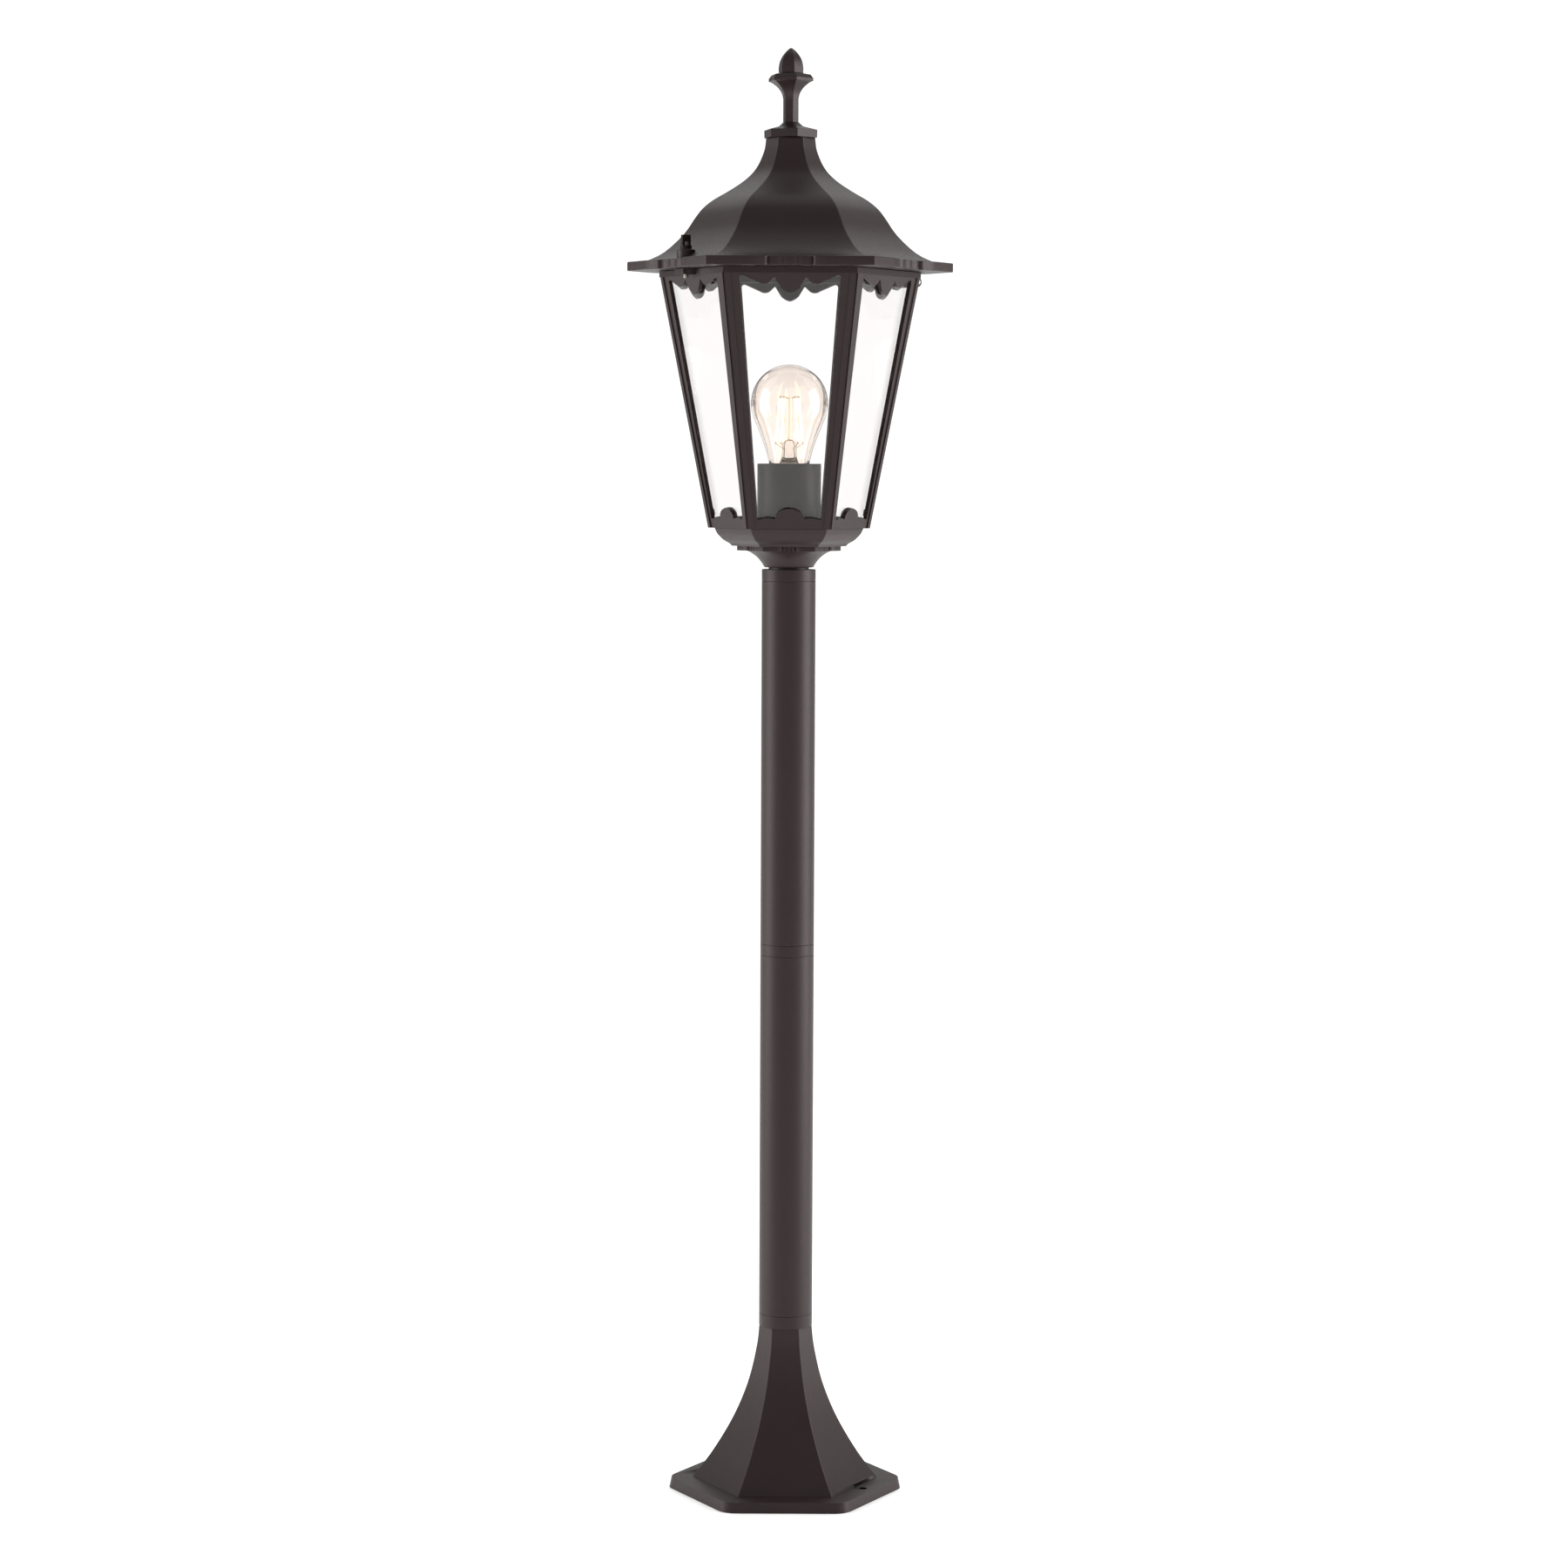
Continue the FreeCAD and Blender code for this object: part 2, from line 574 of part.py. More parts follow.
def half_width(distance, margin=0.0):
    """Half of a panel's width at a distance along it, less a margin."""
    face = value(BOTTOM_FACE) + distance * math.sin(math.radians(lean_angle()))
    return round(face * math.tan(math.pi / 6) - margin, 3)


def window_outline():
    """The opening: ripples and a bump on its lower rail, a valance with a rounded drop above."""
    low, top = up(767.6), up(952.0)
    rail = [
        (-24.6, low), (-21.5, low, (-16.4, low + 1.1)), (-11.2, low + 0.2),
        (-10.4, up(768.6), (-9.1, up(772.1))), (-6.7, up(774.1), (0.0, up(775.8))),
        (6.7, up(774.1), (9.1, up(772.1))), (10.4, up(768.6)),
        (11.2, low + 0.2, (16.4, low + 1.1)), (21.5, low), (24.6, low),
    ]
    half_valance = [
        (38.4, up(950.0), (37.6, up(951.5))), (35.8, top), (23.5, up(946.5), (18.8, up(945.5))),
        (15.4, up(947.1)), (12.2, up(950.2)), (11.6, up(950.2)), (7.2, up(942.9), (4.0, up(940.3))),
    ]
    mirrored = [
        (0.0, up(938.8), (-4.0, up(940.3))), (-7.2, up(942.9)), (-11.6, up(950.2)),
        (-12.2, up(950.2)), (-15.4, up(947.1), (-18.8, up(945.5))), (-23.5, up(946.5)),
        (-35.8, top, (-37.6, up(951.5))), (-38.4, up(950.0)),
    ]
    return rail + half_valance + mirrored


def panel_frame(side, angle):
    """One cast frame: a rail, two beaded stiles and a valance, mitred to its neighbours."""
    top = up(value("cage_top"))
    spare = 2.0
    edge = [(-half_width(0, -4), -spare), (half_width(0, -4), -spare),
            (half_width(top, -4), top + spare), (-half_width(top, -4), top + spare)]
    depth = value("bead_height")
    body = plate(f"frame_{side}", edge, "frame_depth - bead_height", role="XZ_Plane",
                 depth=-depth, back=True, holes=[window_outline()])
    strips = []
    for sign in (-1, 1):
        strips.append([(sign * half_width(-spare, 5.2), -spare),
                       (sign * half_width(-spare, 1.4), -spare),
                       (sign * half_width(top + spare, 1.4), top + spare),
                       (sign * half_width(top + spare, 5.2), top + spare)])
    sketch = new_sketch(body, "XZ_Plane", *strips, depth=-depth)
    bead = body.newObject("PartDesign::Pad", f"bead_{side}")
    bead.Profile = sketch
    bead.setExpression("Length", bound("bead_height"))
    body.Placement = panel_placement(angle)
    sector = doc.addObject("Part::Cylinder", f"sector_{side}")
    sector.Radius = 160.0
    sector.setExpression("Height", bound("cage_top - cage_bottom"))
    sector.Angle = 60.0
    sector.Placement = turned_about_z(angle - 30)
    lift(sector, "cage_bottom")
    mitred = doc.addObject("Part::Common", f"mitred_{side}")
    mitred.Base = body
    mitred.Tool = sector
    middle = value(TOP_FACE) - RING_SCREW_INSET
    high = cylinder(f"high_hole_{side}", RING_SCREW_RADIUS + 0.05, 8.0, RING_SCREW_TIP - 0.3)
    high.Placement = turned_about_z(angle, middle, 0, RING_SCREW_TIP - 0.3)
    low = rod_across(f"low_hole_{side}", 1.25, 4.3, 50.0, FLOOR_SCREW_HEIGHT, angle)
    keep(cut(f"panel_{side}", mitred, high, low), f"panel_frame_{side}")


def glass_pane(side, angle):
    low, high = 5.0, up(952.8)
    outline = [(-half_width(low, 5.2), low), (half_width(low, 5.2), low),
               (half_width(high, 8.0), high), (-half_width(high, 8.0), high)]
    pane = plate(f"pane_{side}", outline, "pane_thickness", role="XZ_Plane",
                 depth=-(value("frame_depth") + 0.05), back=True)
    pane.Placement = panel_placement(angle)
    keep(pane, f"glass_pane_{side}")


def pane_clips():
    """Small bent tabs on the stiles that hold the panes in from behind."""
    tabs = []
    front = value("frame_depth")
    back = front + 0.1 + value("pane_thickness")
    metal, reach, length = 0.5, 2.0, 5.0
    for side, angle in zip(SIDES, SIDE_ANGLES):
        for distance, margin in ((9.0, 5.1), (176.0, 7.45)):
            leg = half_width(distance + length, margin)
            for hand, sign in (("left", -1), ("right", 1)):
                bend = [(sign * leg, front), (sign * (leg + metal), front),
                        (sign * (leg + metal), back + metal), (sign * (leg - reach), back + metal),
                        (sign * (leg - reach), back), (sign * leg, back)]
                tab = plate(f"clip_{side}_{hand}_{int(distance)}", bend, length, depth=distance)
                tab.Placement = panel_placement(angle)
                tabs.append(tab)
    keep(group("clip_set", tabs), "pane_clips")


def floor_ring():
    """The hexagonal ring that the bowl and the panels' lower rails are screwed to."""
    inset = value("frame_depth") / math.cos(math.radians(lean_angle())) + 0.1
    low = value(BOTTOM_FACE) - inset
    slope = math.tan(math.radians(lean_angle()))
    scale = 1 / math.cos(math.pi / 6)
    blank = hex_loft("floor_ring_blank", [
        (round(low * scale, 3), "cage_bottom"), (round((low + 4.5 * slope) * scale, 3), 765.0)],
        straight=True)
    hole = hex_loft("floor_ring_hole", [(47.0, 758.0), (47.0, 768.0)], straight=True)
    tools = [hole]
    screws = []
    for side, angle in zip(SIDES, SIDE_ANGLES):
        tools.append(rod_across(f"floor_screw_hole_{side}", 1.25, 20.0, 38.0, FLOOR_SCREW_HEIGHT, angle))
        head = rod_across(f"floor_screw_head_{side}", 2.2, 1.6, 38.9, FLOOR_SCREW_HEIGHT, angle)
        shank = rod_across(f"floor_screw_shank_{side}", 1.15, 14.0, 40.0, FLOOR_SCREW_HEIGHT, angle)
        screws.append(fuse(f"floor_screw_{side}", head, shank))
    keep(cut("floor_ring_cut", blank, *tools), "floor_ring")
    keep(group("floor_screw_set", screws), "floor_screws")


def top_ring():
    """The hexagonal ring on the panels, with a lug for the thumb screw."""
    blank = hex_loft("top_ring_blank", [(101.4, "cage_top"), (101.4, "ring_top")], straight=True)
    hole = hex_loft("top_ring_hole", [(86.0, 950.0), (86.0, 962.0)], straight=True)
    lug = block("screw_lug", 14.0, 14.0, "ring_top - cage_top", 84.0, -7.0, "cage_top",
                SCREW_ANGLE)
    screw_hole = cylinder("lug_hole", 2.6, 12.0, 950.0)
    screw_hole.Placement = turned_about_z(SCREW_ANGLE, value("screw_distance"), 0, 950.0)
    tools = [hole, screw_hole]
    screws = []
    middle = value(TOP_FACE) - RING_SCREW_INSET
    for side, angle in zip(SIDES, SIDE_ANGLES):
        sink = cylinder(f"ring_sink_{side}", 2.3, 4.0, RING_SCREW_SINK)
        sink.Placement = turned_about_z(angle, middle, 0, RING_SCREW_SINK)
        way = cylinder(f"ring_way_{side}", RING_SCREW_RADIUS + 0.15, 8.0, 952.0)
        way.Placement = turned_about_z(angle, middle, 0, 952.0)
        tools += [sink, way]
        head = cylinder(f"ring_head_{side}", 2.1, 1.6, RING_SCREW_SINK)
        head.Placement = turned_about_z(angle, middle, 0, RING_SCREW_SINK)
        length = RING_SCREW_SINK + 0.2 - RING_SCREW_TIP
        shank = cylinder(f"ring_shank_{side}", RING_SCREW_RADIUS, length, RING_SCREW_TIP)
        shank.Placement = turned_about_z(angle, middle, 0, RING_SCREW_TIP)
        screws.append(fuse(f"ring_screw_{side}", head, shank))
    for i, across in enumerate(BRACKET_SCREW_OFFSETS):
        tools.append(rod_across(f"ring_side_hole_{i}", 1.3, 20.0, 80.0, BRACKET_SCREW_HEIGHT,
                                HINGE_ANGLE, across))
    keep(cut("top_ring_cut", fuse("top_ring_solid", blank, lug), *tools), "top_ring")
    keep(group("ring_screw_set", screws), "ring_screws")


# ---------------------------------------------------------------- roof and hinge

def roof():
    """The ogee casting with its scalloped eave and the thumb screw's boss."""
    rise = value("roof_top") - value("eave_top")
    points = [(value("roof_radius") * r, value("eave_top") + rise * h) for r, h in ROOF_OUTLINE]
    outer = hex_loft("roof_outer", [
        (f"roof_radius * {r}", f"eave_top + (roof_top - eave_top) * {h}") for r, h in ROOF_OUTLINE])
    hollow = [(104.0, 957.0), (103.0, 962.0)] + [
        (round(r, 3), round(z, 3)) for r, z in inset_outline(points, value("roof_wall"))[3:-2]]
    hollow.append((16.8, "roof_top - roof_crown"))
    inner = hex_loft("roof_hollow", hollow)
    eave = scalloped_plate("eave_plate", "roof_radius", EAVE_SCALLOP, "eave_top - eave_bottom",
                           "eave_bottom")
    boss = cylinder("screw_boss", 7.0, "boss_top - eave_bottom", "eave_bottom")
    boss.Placement = turned_about_z(SCREW_ANGLE, value("screw_distance"), 0, value("eave_bottom"))
    way = cylinder("screw_way", "screw_radius + 0.35", 30.0, 950.0)
    way.Placement = turned_about_z(SCREW_ANGLE, value("screw_distance"), 0, 950.0)
    sink = cylinder("clip_sink", 4.0, 11.8, 957.8)
    sink.Placement = turned_about_z(SCREW_ANGLE, value("screw_distance"), 0, 957.8)
    stud_way = cylinder("stud_way", 3.1, 40.0, 1040.0)
    tools = [way, sink, stud_way]
    for i, across in enumerate(LEAF_SCREW_OFFSETS):
        hole = cylinder(f"leaf_hole_{i}", 1.3, 5.0, 957.0)
        hole.Placement = turned_about_z(HINGE_ANGLE, LEAF_SCREW_DISTANCE, across, 957.0)
        tools.append(hole)
    shell = cut("roof_shell", fuse("roof_solid", outer, eave), inner)
    keep(cut("roof_drilled", fuse("roof_with_boss", shell, boss), *tools), "roof")


def hinge():
    """Ring bracket, roof leaf, pin and screws."""
    distance, height = value("hinge_distance"), value("hinge_height")
    pieces = [block("bracket_plate", 2.0, 52.0, 9.4, 88.0, -26.0, 948.8, HINGE_ANGLE)]
    for i, start in enumerate((-26.0, 11.5)):
        pieces.append(block(f"bracket_arm_{i}", distance - 89.0, 14.5, 3.8, 89.0, start, 950.0,
                            HINGE_ANGLE))
        pieces.append(knuckle(f"bracket_knuckle_{i}", 4.0, 14.5, start))
    bore = knuckle("bracket_bore", "hinge_pin_radius + 0.02", 60.0, -30.0)
    holes = [rod_across(f"bracket_screw_way_{i}", 1.3, 8.0, 85.0, BRACKET_SCREW_HEIGHT, HINGE_ANGLE, across)
             for i, across in enumerate(BRACKET_SCREW_OFFSETS)]
    keep(cut("ring_bracket", fuse("ring_bracket_solid", *pieces), bore, *holes),
         "ring_hinge_bracket")
    leaf = block("leaf_plate", 16.0, 22.0, "eave_bottom - 956.7", 92.0, -11.0, 956.7, HINGE_ANGLE)
    web = block("leaf_web", 5.0, 22.0, 5.0, distance - 2.5, -11.0, height, HINGE_ANGLE)
    leaf_bore = knuckle("leaf_bore", "hinge_pin_radius + 0.06", 30.0, -15.0)
    leaf_holes = []
    for i, across in enumerate(LEAF_SCREW_OFFSETS):
        hole = cylinder(f"leaf_screw_way_{i}", 1.3, 6.0, 955.0)
        hole.Placement = turned_about_z(HINGE_ANGLE, LEAF_SCREW_DISTANCE, across, 955.0)
        leaf_holes.append(hole)
    joined = fuse("leaf_solid", leaf, web, knuckle("leaf_knuckle", 4.0, 22.0, -11.0))
    keep(cut("leaf", joined, leaf_bore, *leaf_holes), "roof_hinge_leaf")
    keep(knuckle("pin", "hinge_pin_radius", 55.0, -27.5), "hinge_pin")
    ring_screws, roof_screws = [], []
    for i, across in enumerate(BRACKET_SCREW_OFFSETS):
        head = rod_across(f"side_head_{i}", 2.2, 1.4, 90.0, BRACKET_SCREW_HEIGHT, HINGE_ANGLE, across)
        shank = rod_across(f"side_shank_{i}", 1.2, 7.5, 83.0, BRACKET_SCREW_HEIGHT, HINGE_ANGLE, across)
        ring_screws.append(fuse(f"side_screw_{i}", head, shank))
    for i, across in enumerate(LEAF_SCREW_OFFSETS):
        head = cylinder(f"leaf_head_{i}", 2.2, 1.3, 955.4)
        head.Placement = turned_about_z(HINGE_ANGLE, LEAF_SCREW_DISTANCE, across, 955.4)
        shank = cylinder(f"leaf_shank_{i}", 1.2, 5.6, 956.2)
        shank.Placement = turned_about_z(HINGE_ANGLE, LEAF_SCREW_DISTANCE, across, 956.2)
        roof_screws.append(fuse(f"leaf_screw_{i}", head, shank))
    keep(group("side_screw_set", ring_screws), "ring_hinge_screws")
    keep(group("leaf_screw_set", roof_screws), "roof_hinge_screws")


def knuckle(name, radius, length, start):
    """A cylinder along the hinge's axis, from a start across the hinge side."""
    rod = doc.addObject("Part::Cylinder", name)
    rod.setExpression("Radius", bound(radius))
    rod.setExpression("Height", bound(length))
    lay = FreeCAD.Rotation(FreeCAD.Vector(1, 0, 0), -90)
    place = turned_about_z(HINGE_ANGLE, value("hinge_distance"), start, value("hinge_height"))
    rod.Placement = FreeCAD.Placement(place.Base, place.Rotation.multiply(lay))
    return rod


def thumb_screw():
    """Knob, shank and the captive clip that stops the screw falling out of the roof."""
    distance = value("screw_distance")
    collar = cylinder("knob_collar", 4.5, 2.8, "boss_top + 0.1")
    collar.Placement = turned_about_z(SCREW_ANGLE, distance, 0, value("boss_top") + 0.1)
    wing = block("knob_wing", 7.0, 3.0, 9.0, distance - 3.5, -1.5, "boss_top + 2", SCREW_ANGLE)
    shank_hole = cylinder("knob_hole", "screw_radius", 6.0, "boss_top")
    shank_hole.Placement = turned_about_z(SCREW_ANGLE, distance, 0, value("boss_top") - 3.5)
    keep(cut("knob", fuse("knob_solid", collar, wing), shank_hole), "thumb_screw_knob")
    bottom = 951.5
    length = value("boss_top") + 2.5 - bottom
    rod = cylinder("thumb_shank", "screw_radius", length, bottom)
    rod.Placement = turned_about_z(SCREW_ANGLE, distance, 0, bottom)
    keep(rod, "thumb_screw_shank")
    washer = cylinder("clip_blank", 3.5, 0.8, 960.0)
    washer.Placement = turned_about_z(SCREW_ANGLE, distance, 0, 960.0)
    way = cylinder("clip_way", "screw_radius + 0.08", 4.0, 958.0)
    way.Placement = turned_about_z(SCREW_ANGLE, distance, 0, 958.0)
    keep(cut("clip", washer, way), "thumb_screw_clip")


def finial():
    """The turned-looking hexagonal finial, its stud, washer and nut."""
    turn = value("finial_turn")
    stem = [(6.3, 1073.4), (6.3, 1091.2)]
    parts = [
        hex_loft("acorn", ACORN_OUTLINE, turn),
        hex_loft("finial_cup_top", CUP_TOP_OUTLINE, turn, straight=True),
        hex_loft("finial_rim", [(18.1, 1104.6), (18.1, 1106.8)], turn, straight=True),
        hex_loft("finial_cup", CUP_OUTLINE, turn),
        hex_loft("finial_stem", stem, turn, straight=True),
        hex_loft("cap_slope", CAP_SLOPE_OUTLINE, turn, straight=True),
        hex_loft("cap_plate", CAP_PLATE_OUTLINE, turn, straight=True),
    ]
    bore = cylinder("finial_bore", 3.05, 24.0, 1060.0)
    keep(cut("finial_bored", fuse("finial_solid", *parts), bore), "finial")
    keep(cylinder("stud", 3.0, 38.0, 1044.0), "finial_stud")
    washer_bottom = "roof_top - roof_crown - 1.25"
    keep(tube("washer", 9.0, 3.1, washer_bottom, f"{washer_bottom} + 1.2"), "finial_washer")
    blank = doc.addObject("Part::Prism", "finial_nut_blank")
    blank.Polygon = 6
    blank.Circumradius = 5.8
    blank.Height = 5.0
    lift(blank, f"{washer_bottom} - 5.1")
    keep(cut("finial_nut_cut", blank, cylinder("finial_nut_bore", 3.1, 12.0, 1046.0)),
         "finial_nut")


def main():
    base_casting()
    base_fittings()
    pole()
    neck_and_bowl()
    lampholder()
    bulb()
    for side, angle in zip(SIDES, SIDE_ANGLES):
        panel_frame(side, angle)
        glass_pane(side, angle)
    pane_clips()
    floor_ring()
    top_ring()
    roof()
    hinge()
    thumb_screw()
    finial()
    doc.recompute()
    broken = [o.Label for o in doc.Objects if {"Invalid", "Error"} & set(o.State)]
    if broken:
        raise RuntimeError(f"failed objects: {broken}")
    for part in PARTS:
        shape = part.Shape
        if shape.isNull() or not shape.isValid() or shape.Volume <= 0:
            raise RuntimeError(f"{part.Label} is not a valid solid")
    os.makedirs("parts", exist_ok=True)
    for part in PARTS:
        part.Shape.exportStep(f"parts/{part.Label}.step")
        print(part.Label, len(part.Shape.Solids), round(part.Shape.Volume / 1000, 3), "cm3")
    print(len(PARTS), "pieces")


main()
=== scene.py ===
"""The visual model of a hexagonal post lantern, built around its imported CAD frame.

Shapes are modelled in millimetres, +Z up, with the foot's centre at the origin and a flat side of
every hexagon towards -Y, and are turned to metres when they become objects.
"""
import json
import math
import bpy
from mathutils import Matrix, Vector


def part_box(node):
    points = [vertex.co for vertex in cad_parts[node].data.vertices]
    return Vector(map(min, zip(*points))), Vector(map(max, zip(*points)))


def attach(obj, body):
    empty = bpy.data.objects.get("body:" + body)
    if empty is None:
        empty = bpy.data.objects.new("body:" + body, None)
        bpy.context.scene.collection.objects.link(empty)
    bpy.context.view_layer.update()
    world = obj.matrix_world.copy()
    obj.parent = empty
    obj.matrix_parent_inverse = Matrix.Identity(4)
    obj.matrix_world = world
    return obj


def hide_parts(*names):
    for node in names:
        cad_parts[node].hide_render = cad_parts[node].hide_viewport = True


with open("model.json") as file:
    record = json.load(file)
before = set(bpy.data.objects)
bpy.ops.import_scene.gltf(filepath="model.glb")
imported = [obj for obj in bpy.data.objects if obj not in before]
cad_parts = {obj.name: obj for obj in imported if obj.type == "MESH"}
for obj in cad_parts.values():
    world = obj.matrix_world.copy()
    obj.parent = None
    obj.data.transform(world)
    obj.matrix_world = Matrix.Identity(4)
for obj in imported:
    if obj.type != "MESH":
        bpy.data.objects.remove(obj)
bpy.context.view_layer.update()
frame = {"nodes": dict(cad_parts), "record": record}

from types import SimpleNamespace

import bmesh
import bpy
from mathutils import Matrix, Vector

bl_info = {
    "name": "Post Lantern",
    "version": (1, 0, 0),
    "blender": (4, 5, 0),
    "location": "View3D > Sidebar > Lantern",
    "description": "Builds a hexagonal post lantern piece by piece around its CAD frame",
    "category": "Add Mesh",
}

MM = 0.001
SIDES = ["rear_right", "rear", "rear_left", "front_left", "front", "front_right"]

# Outlines of the hexagonal castings, as fractions of the corner radius and of the height.
ROOF_OUTLINE = [
    (0.936, -0.02), (0.877, 0.012), (0.772, 0.081), (0.655, 0.223), (0.583, 0.359),
    (0.539, 0.432), (0.476, 0.500), (0.387, 0.568), (0.301, 0.641), (0.240, 0.710),
    (0.202, 0.777), (0.176, 0.850), (0.159, 0.919), (0.152, 1.000),
]
PEDESTAL_OUTLINE = [
    (1.000, 0.000), (0.789, 0.166), (0.562, 0.396), (0.404, 0.626), (0.313, 0.855), (0.285, 1.000),
]
BOWL_OUTLINE = [
    (0.770, 0.0), (0.797, 0.13), (0.876, 0.32), (0.928, 0.52), (0.967, 0.71), (1.0, 1.0),
]

# The thumb screw's distance from the lamp's axis, and its bearing.
SCREW_DISTANCE, SCREW_BEARING = 92.0, math.radians(210)
# The finial is screwed on by hand, so its flats don't line up with the roof's.
FINIAL_TURN = math.radians(-16.6)
# The filaments stand a quarter turn apart, all four apart from one another as seen from -Y.
FILAMENT_BEARINGS = [math.radians(angle) for angle in (32, 122, 212, 302)]


# ---------------------------------------------------------------- settings

def linear(code):
    """An sRGB hex colour such as "2e2727" as linear red, green and blue."""
    parts = [int(code[i:i + 2], 16) / 255 for i in (0, 2, 4)]
    return tuple(p / 12.92 if p <= 0.04045 else ((p + 0.055) / 1.055) ** 2.4 for p in parts)


def colour_setting(label, code, description):
    return bpy.props.FloatVectorProperty(name=label, description=description, subtype="COLOR",
                                         size=3, min=0.0, max=1.0, default=linear(code))


class LanternSizes(bpy.types.PropertyGroup):
    """Sizes that shape the edges and the fine detail."""
    cast_edge: bpy.props.FloatProperty(
        name="Cast edge", description="Rounding of the castings' long corners",
        default=0.0012, min=0.0002, unit="LENGTH")
    plate_edge: bpy.props.FloatProperty(
        name="Plate edge", description="Rounding of the panel frames' and plates' edges",
        default=0.0008, min=0.0001, unit="LENGTH")
    pole_edge: bpy.props.FloatProperty(
        name="Pole edge", description="Rounding of the ends of the pole's tubes and bands",
        default=0.0004, min=0.0001, unit="LENGTH")
    foot_rounding: bpy.props.FloatProperty(
        name="Foot corners", description="Radius of the foot's corners in plan",
        default=0.014, min=0.001, unit="LENGTH")
    eave_scallop: bpy.props.FloatProperty(
        name="Eave scallop", description="Depth of the lobes along the roof's eave",
        default=0.0055, min=0.0, unit="LENGTH")


class LanternFinishes(bpy.types.PropertyGroup):
    """Colours and gloss of the finishes."""
    coat: colour_setting("Powder coat", "201516", "Body colour of the powder coat")
    coat_light: colour_setting("Powder coat, light", "291c1d", "Lighter drift in the coat")
    coat_roughness: bpy.props.FloatProperty(
        name="Coat roughness", description="Roughness of the powder coat", default=0.42,
        min=0.0, max=1.0, subtype="FACTOR")
    cup: colour_setting("Cup", "1c120f", "Colour of the moulded lampholder cup and the knob")
    # Also the colour of the painted glow on the bulb's glass.
    glow: colour_setting("Lamp light", "ffb765", "Colour of the light that the bulb gives")
    glow_power: bpy.props.FloatProperty(
        name="Lamp power", description="Power of the light in the bulb", default=0.22, min=0.0,
        unit="POWER")
    filament_strength: bpy.props.FloatProperty(
        name="Filament brightness", description="Emission of the filaments", default=4.5, min=0.0)


class LanternStage(bpy.types.PropertyGroup):
    """The floor, the lights and the camera."""
    lens: bpy.props.FloatProperty(
        name="Lens", description="Focal length", default=90.6, min=10.0, unit="CAMERA")
    camera_height: bpy.props.FloatProperty(
        name="Camera height", description="Height of the camera over the floor", default=0.812,
        unit="LENGTH")
    camera_distance: bpy.props.FloatProperty(
        name="Camera distance", description="Distance in front of the pole", default=3.081,
        unit="LENGTH")
    camera_pitch: bpy.props.FloatProperty(
        name="Camera pitch", description="How far the camera looks down",
        default=math.radians(4.67), unit="ROTATION")
    floor: colour_setting("Floor", "f7f6f5", "Colour of the floor")
    left_power: bpy.props.FloatProperty(
        name="Left light", description="Power of the left side light", default=42.0, min=0.0,
        unit="POWER")
    right_power: bpy.props.FloatProperty(
        name="Right light", description="Power of the right side light", default=56.0, min=0.0,
        unit="POWER")
    top_strength: bpy.props.FloatProperty(
        name="Top light", description="Strength of the broad overhead light", default=0.8,
        min=0.0)
    floor_strength: bpy.props.FloatProperty(
        name="Floor light", description="Strength of the light that reaches the floor alone",
        default=2.2, min=0.0)


# ---------------------------------------------------------------- shared helpers

def place(node):
    """A CAD node's box in millimetres: x0 to z1, and its reach along X as radius."""
    low, high = (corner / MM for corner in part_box(node))
    return SimpleNamespace(x0=low.x, y0=low.y, z0=low.z, x1=high.x, y1=high.y, z1=high.z,
                           radius=high.x)


def arc(start, through, end, steps):
    """Points on the circle through three points, after the start and up to the end."""
    (ax, ay), (bx, by), (cx, cy) = start, through, end
    d = 2 * (ax * (by - cy) + bx * (cy - ay) + cx * (ay - by))
    a2, b2, c2 = ax * ax + ay * ay, bx * bx + by * by, cx * cx + cy * cy
    x = (a2 * (by - cy) + b2 * (cy - ay) + c2 * (ay - by)) / d
    y = (a2 * (cx - bx) + b2 * (ax - cx) + c2 * (bx - ax)) / d
    first = math.atan2(ay - y, ax - x)
    sweep = (math.atan2(cy - y, cx - x) - first) % math.tau
    middle = (math.atan2(by - y, bx - x) - first) % math.tau
    if middle > sweep:
        sweep -= math.tau
    radius = math.hypot(ax - x, ay - y)
    angles = [first + sweep * i / steps for i in range(1, steps + 1)]
    return [(x + radius * math.cos(a), y + radius * math.sin(a)) for a in angles]


def smooth_outline(points, steps=4):
    """A finer outline on a smooth curve through the points."""
    padded = [points[0]] + list(points) + [points[-1]]
    out = [points[0]]
    for p0, p1, p2, p3 in zip(padded, padded[1:], padded[2:], padded[3:]):
        for i in range(1, steps + 1):
            t = i / steps
            out.append(tuple(
                0.5 * (2 * b + (c - a) * t + (2 * a - 5 * b + 4 * c - d) * t * t
                       + (3 * b - a - 3 * c + d) * t ** 3)
                for a, b, c, d in zip(p0, p1, p2, p3)))
    return out


def scallop(along):
    """How far a side is cut back, from 0 to 1, at a place from -1 to 1 along it: three lobes."""
    along = abs(along)
    if along > 0.56:
        return 0.0
    if along > 0.27:
        return 0.7 * ((0.56 - along) / 0.29) ** 2
    centre, reach = (0.175, 0.085) if along > 0.09 else (0.0, 0.09)
    return 1 - 0.3 * (1 - min(1.0, ((along - centre) / reach) ** 2))


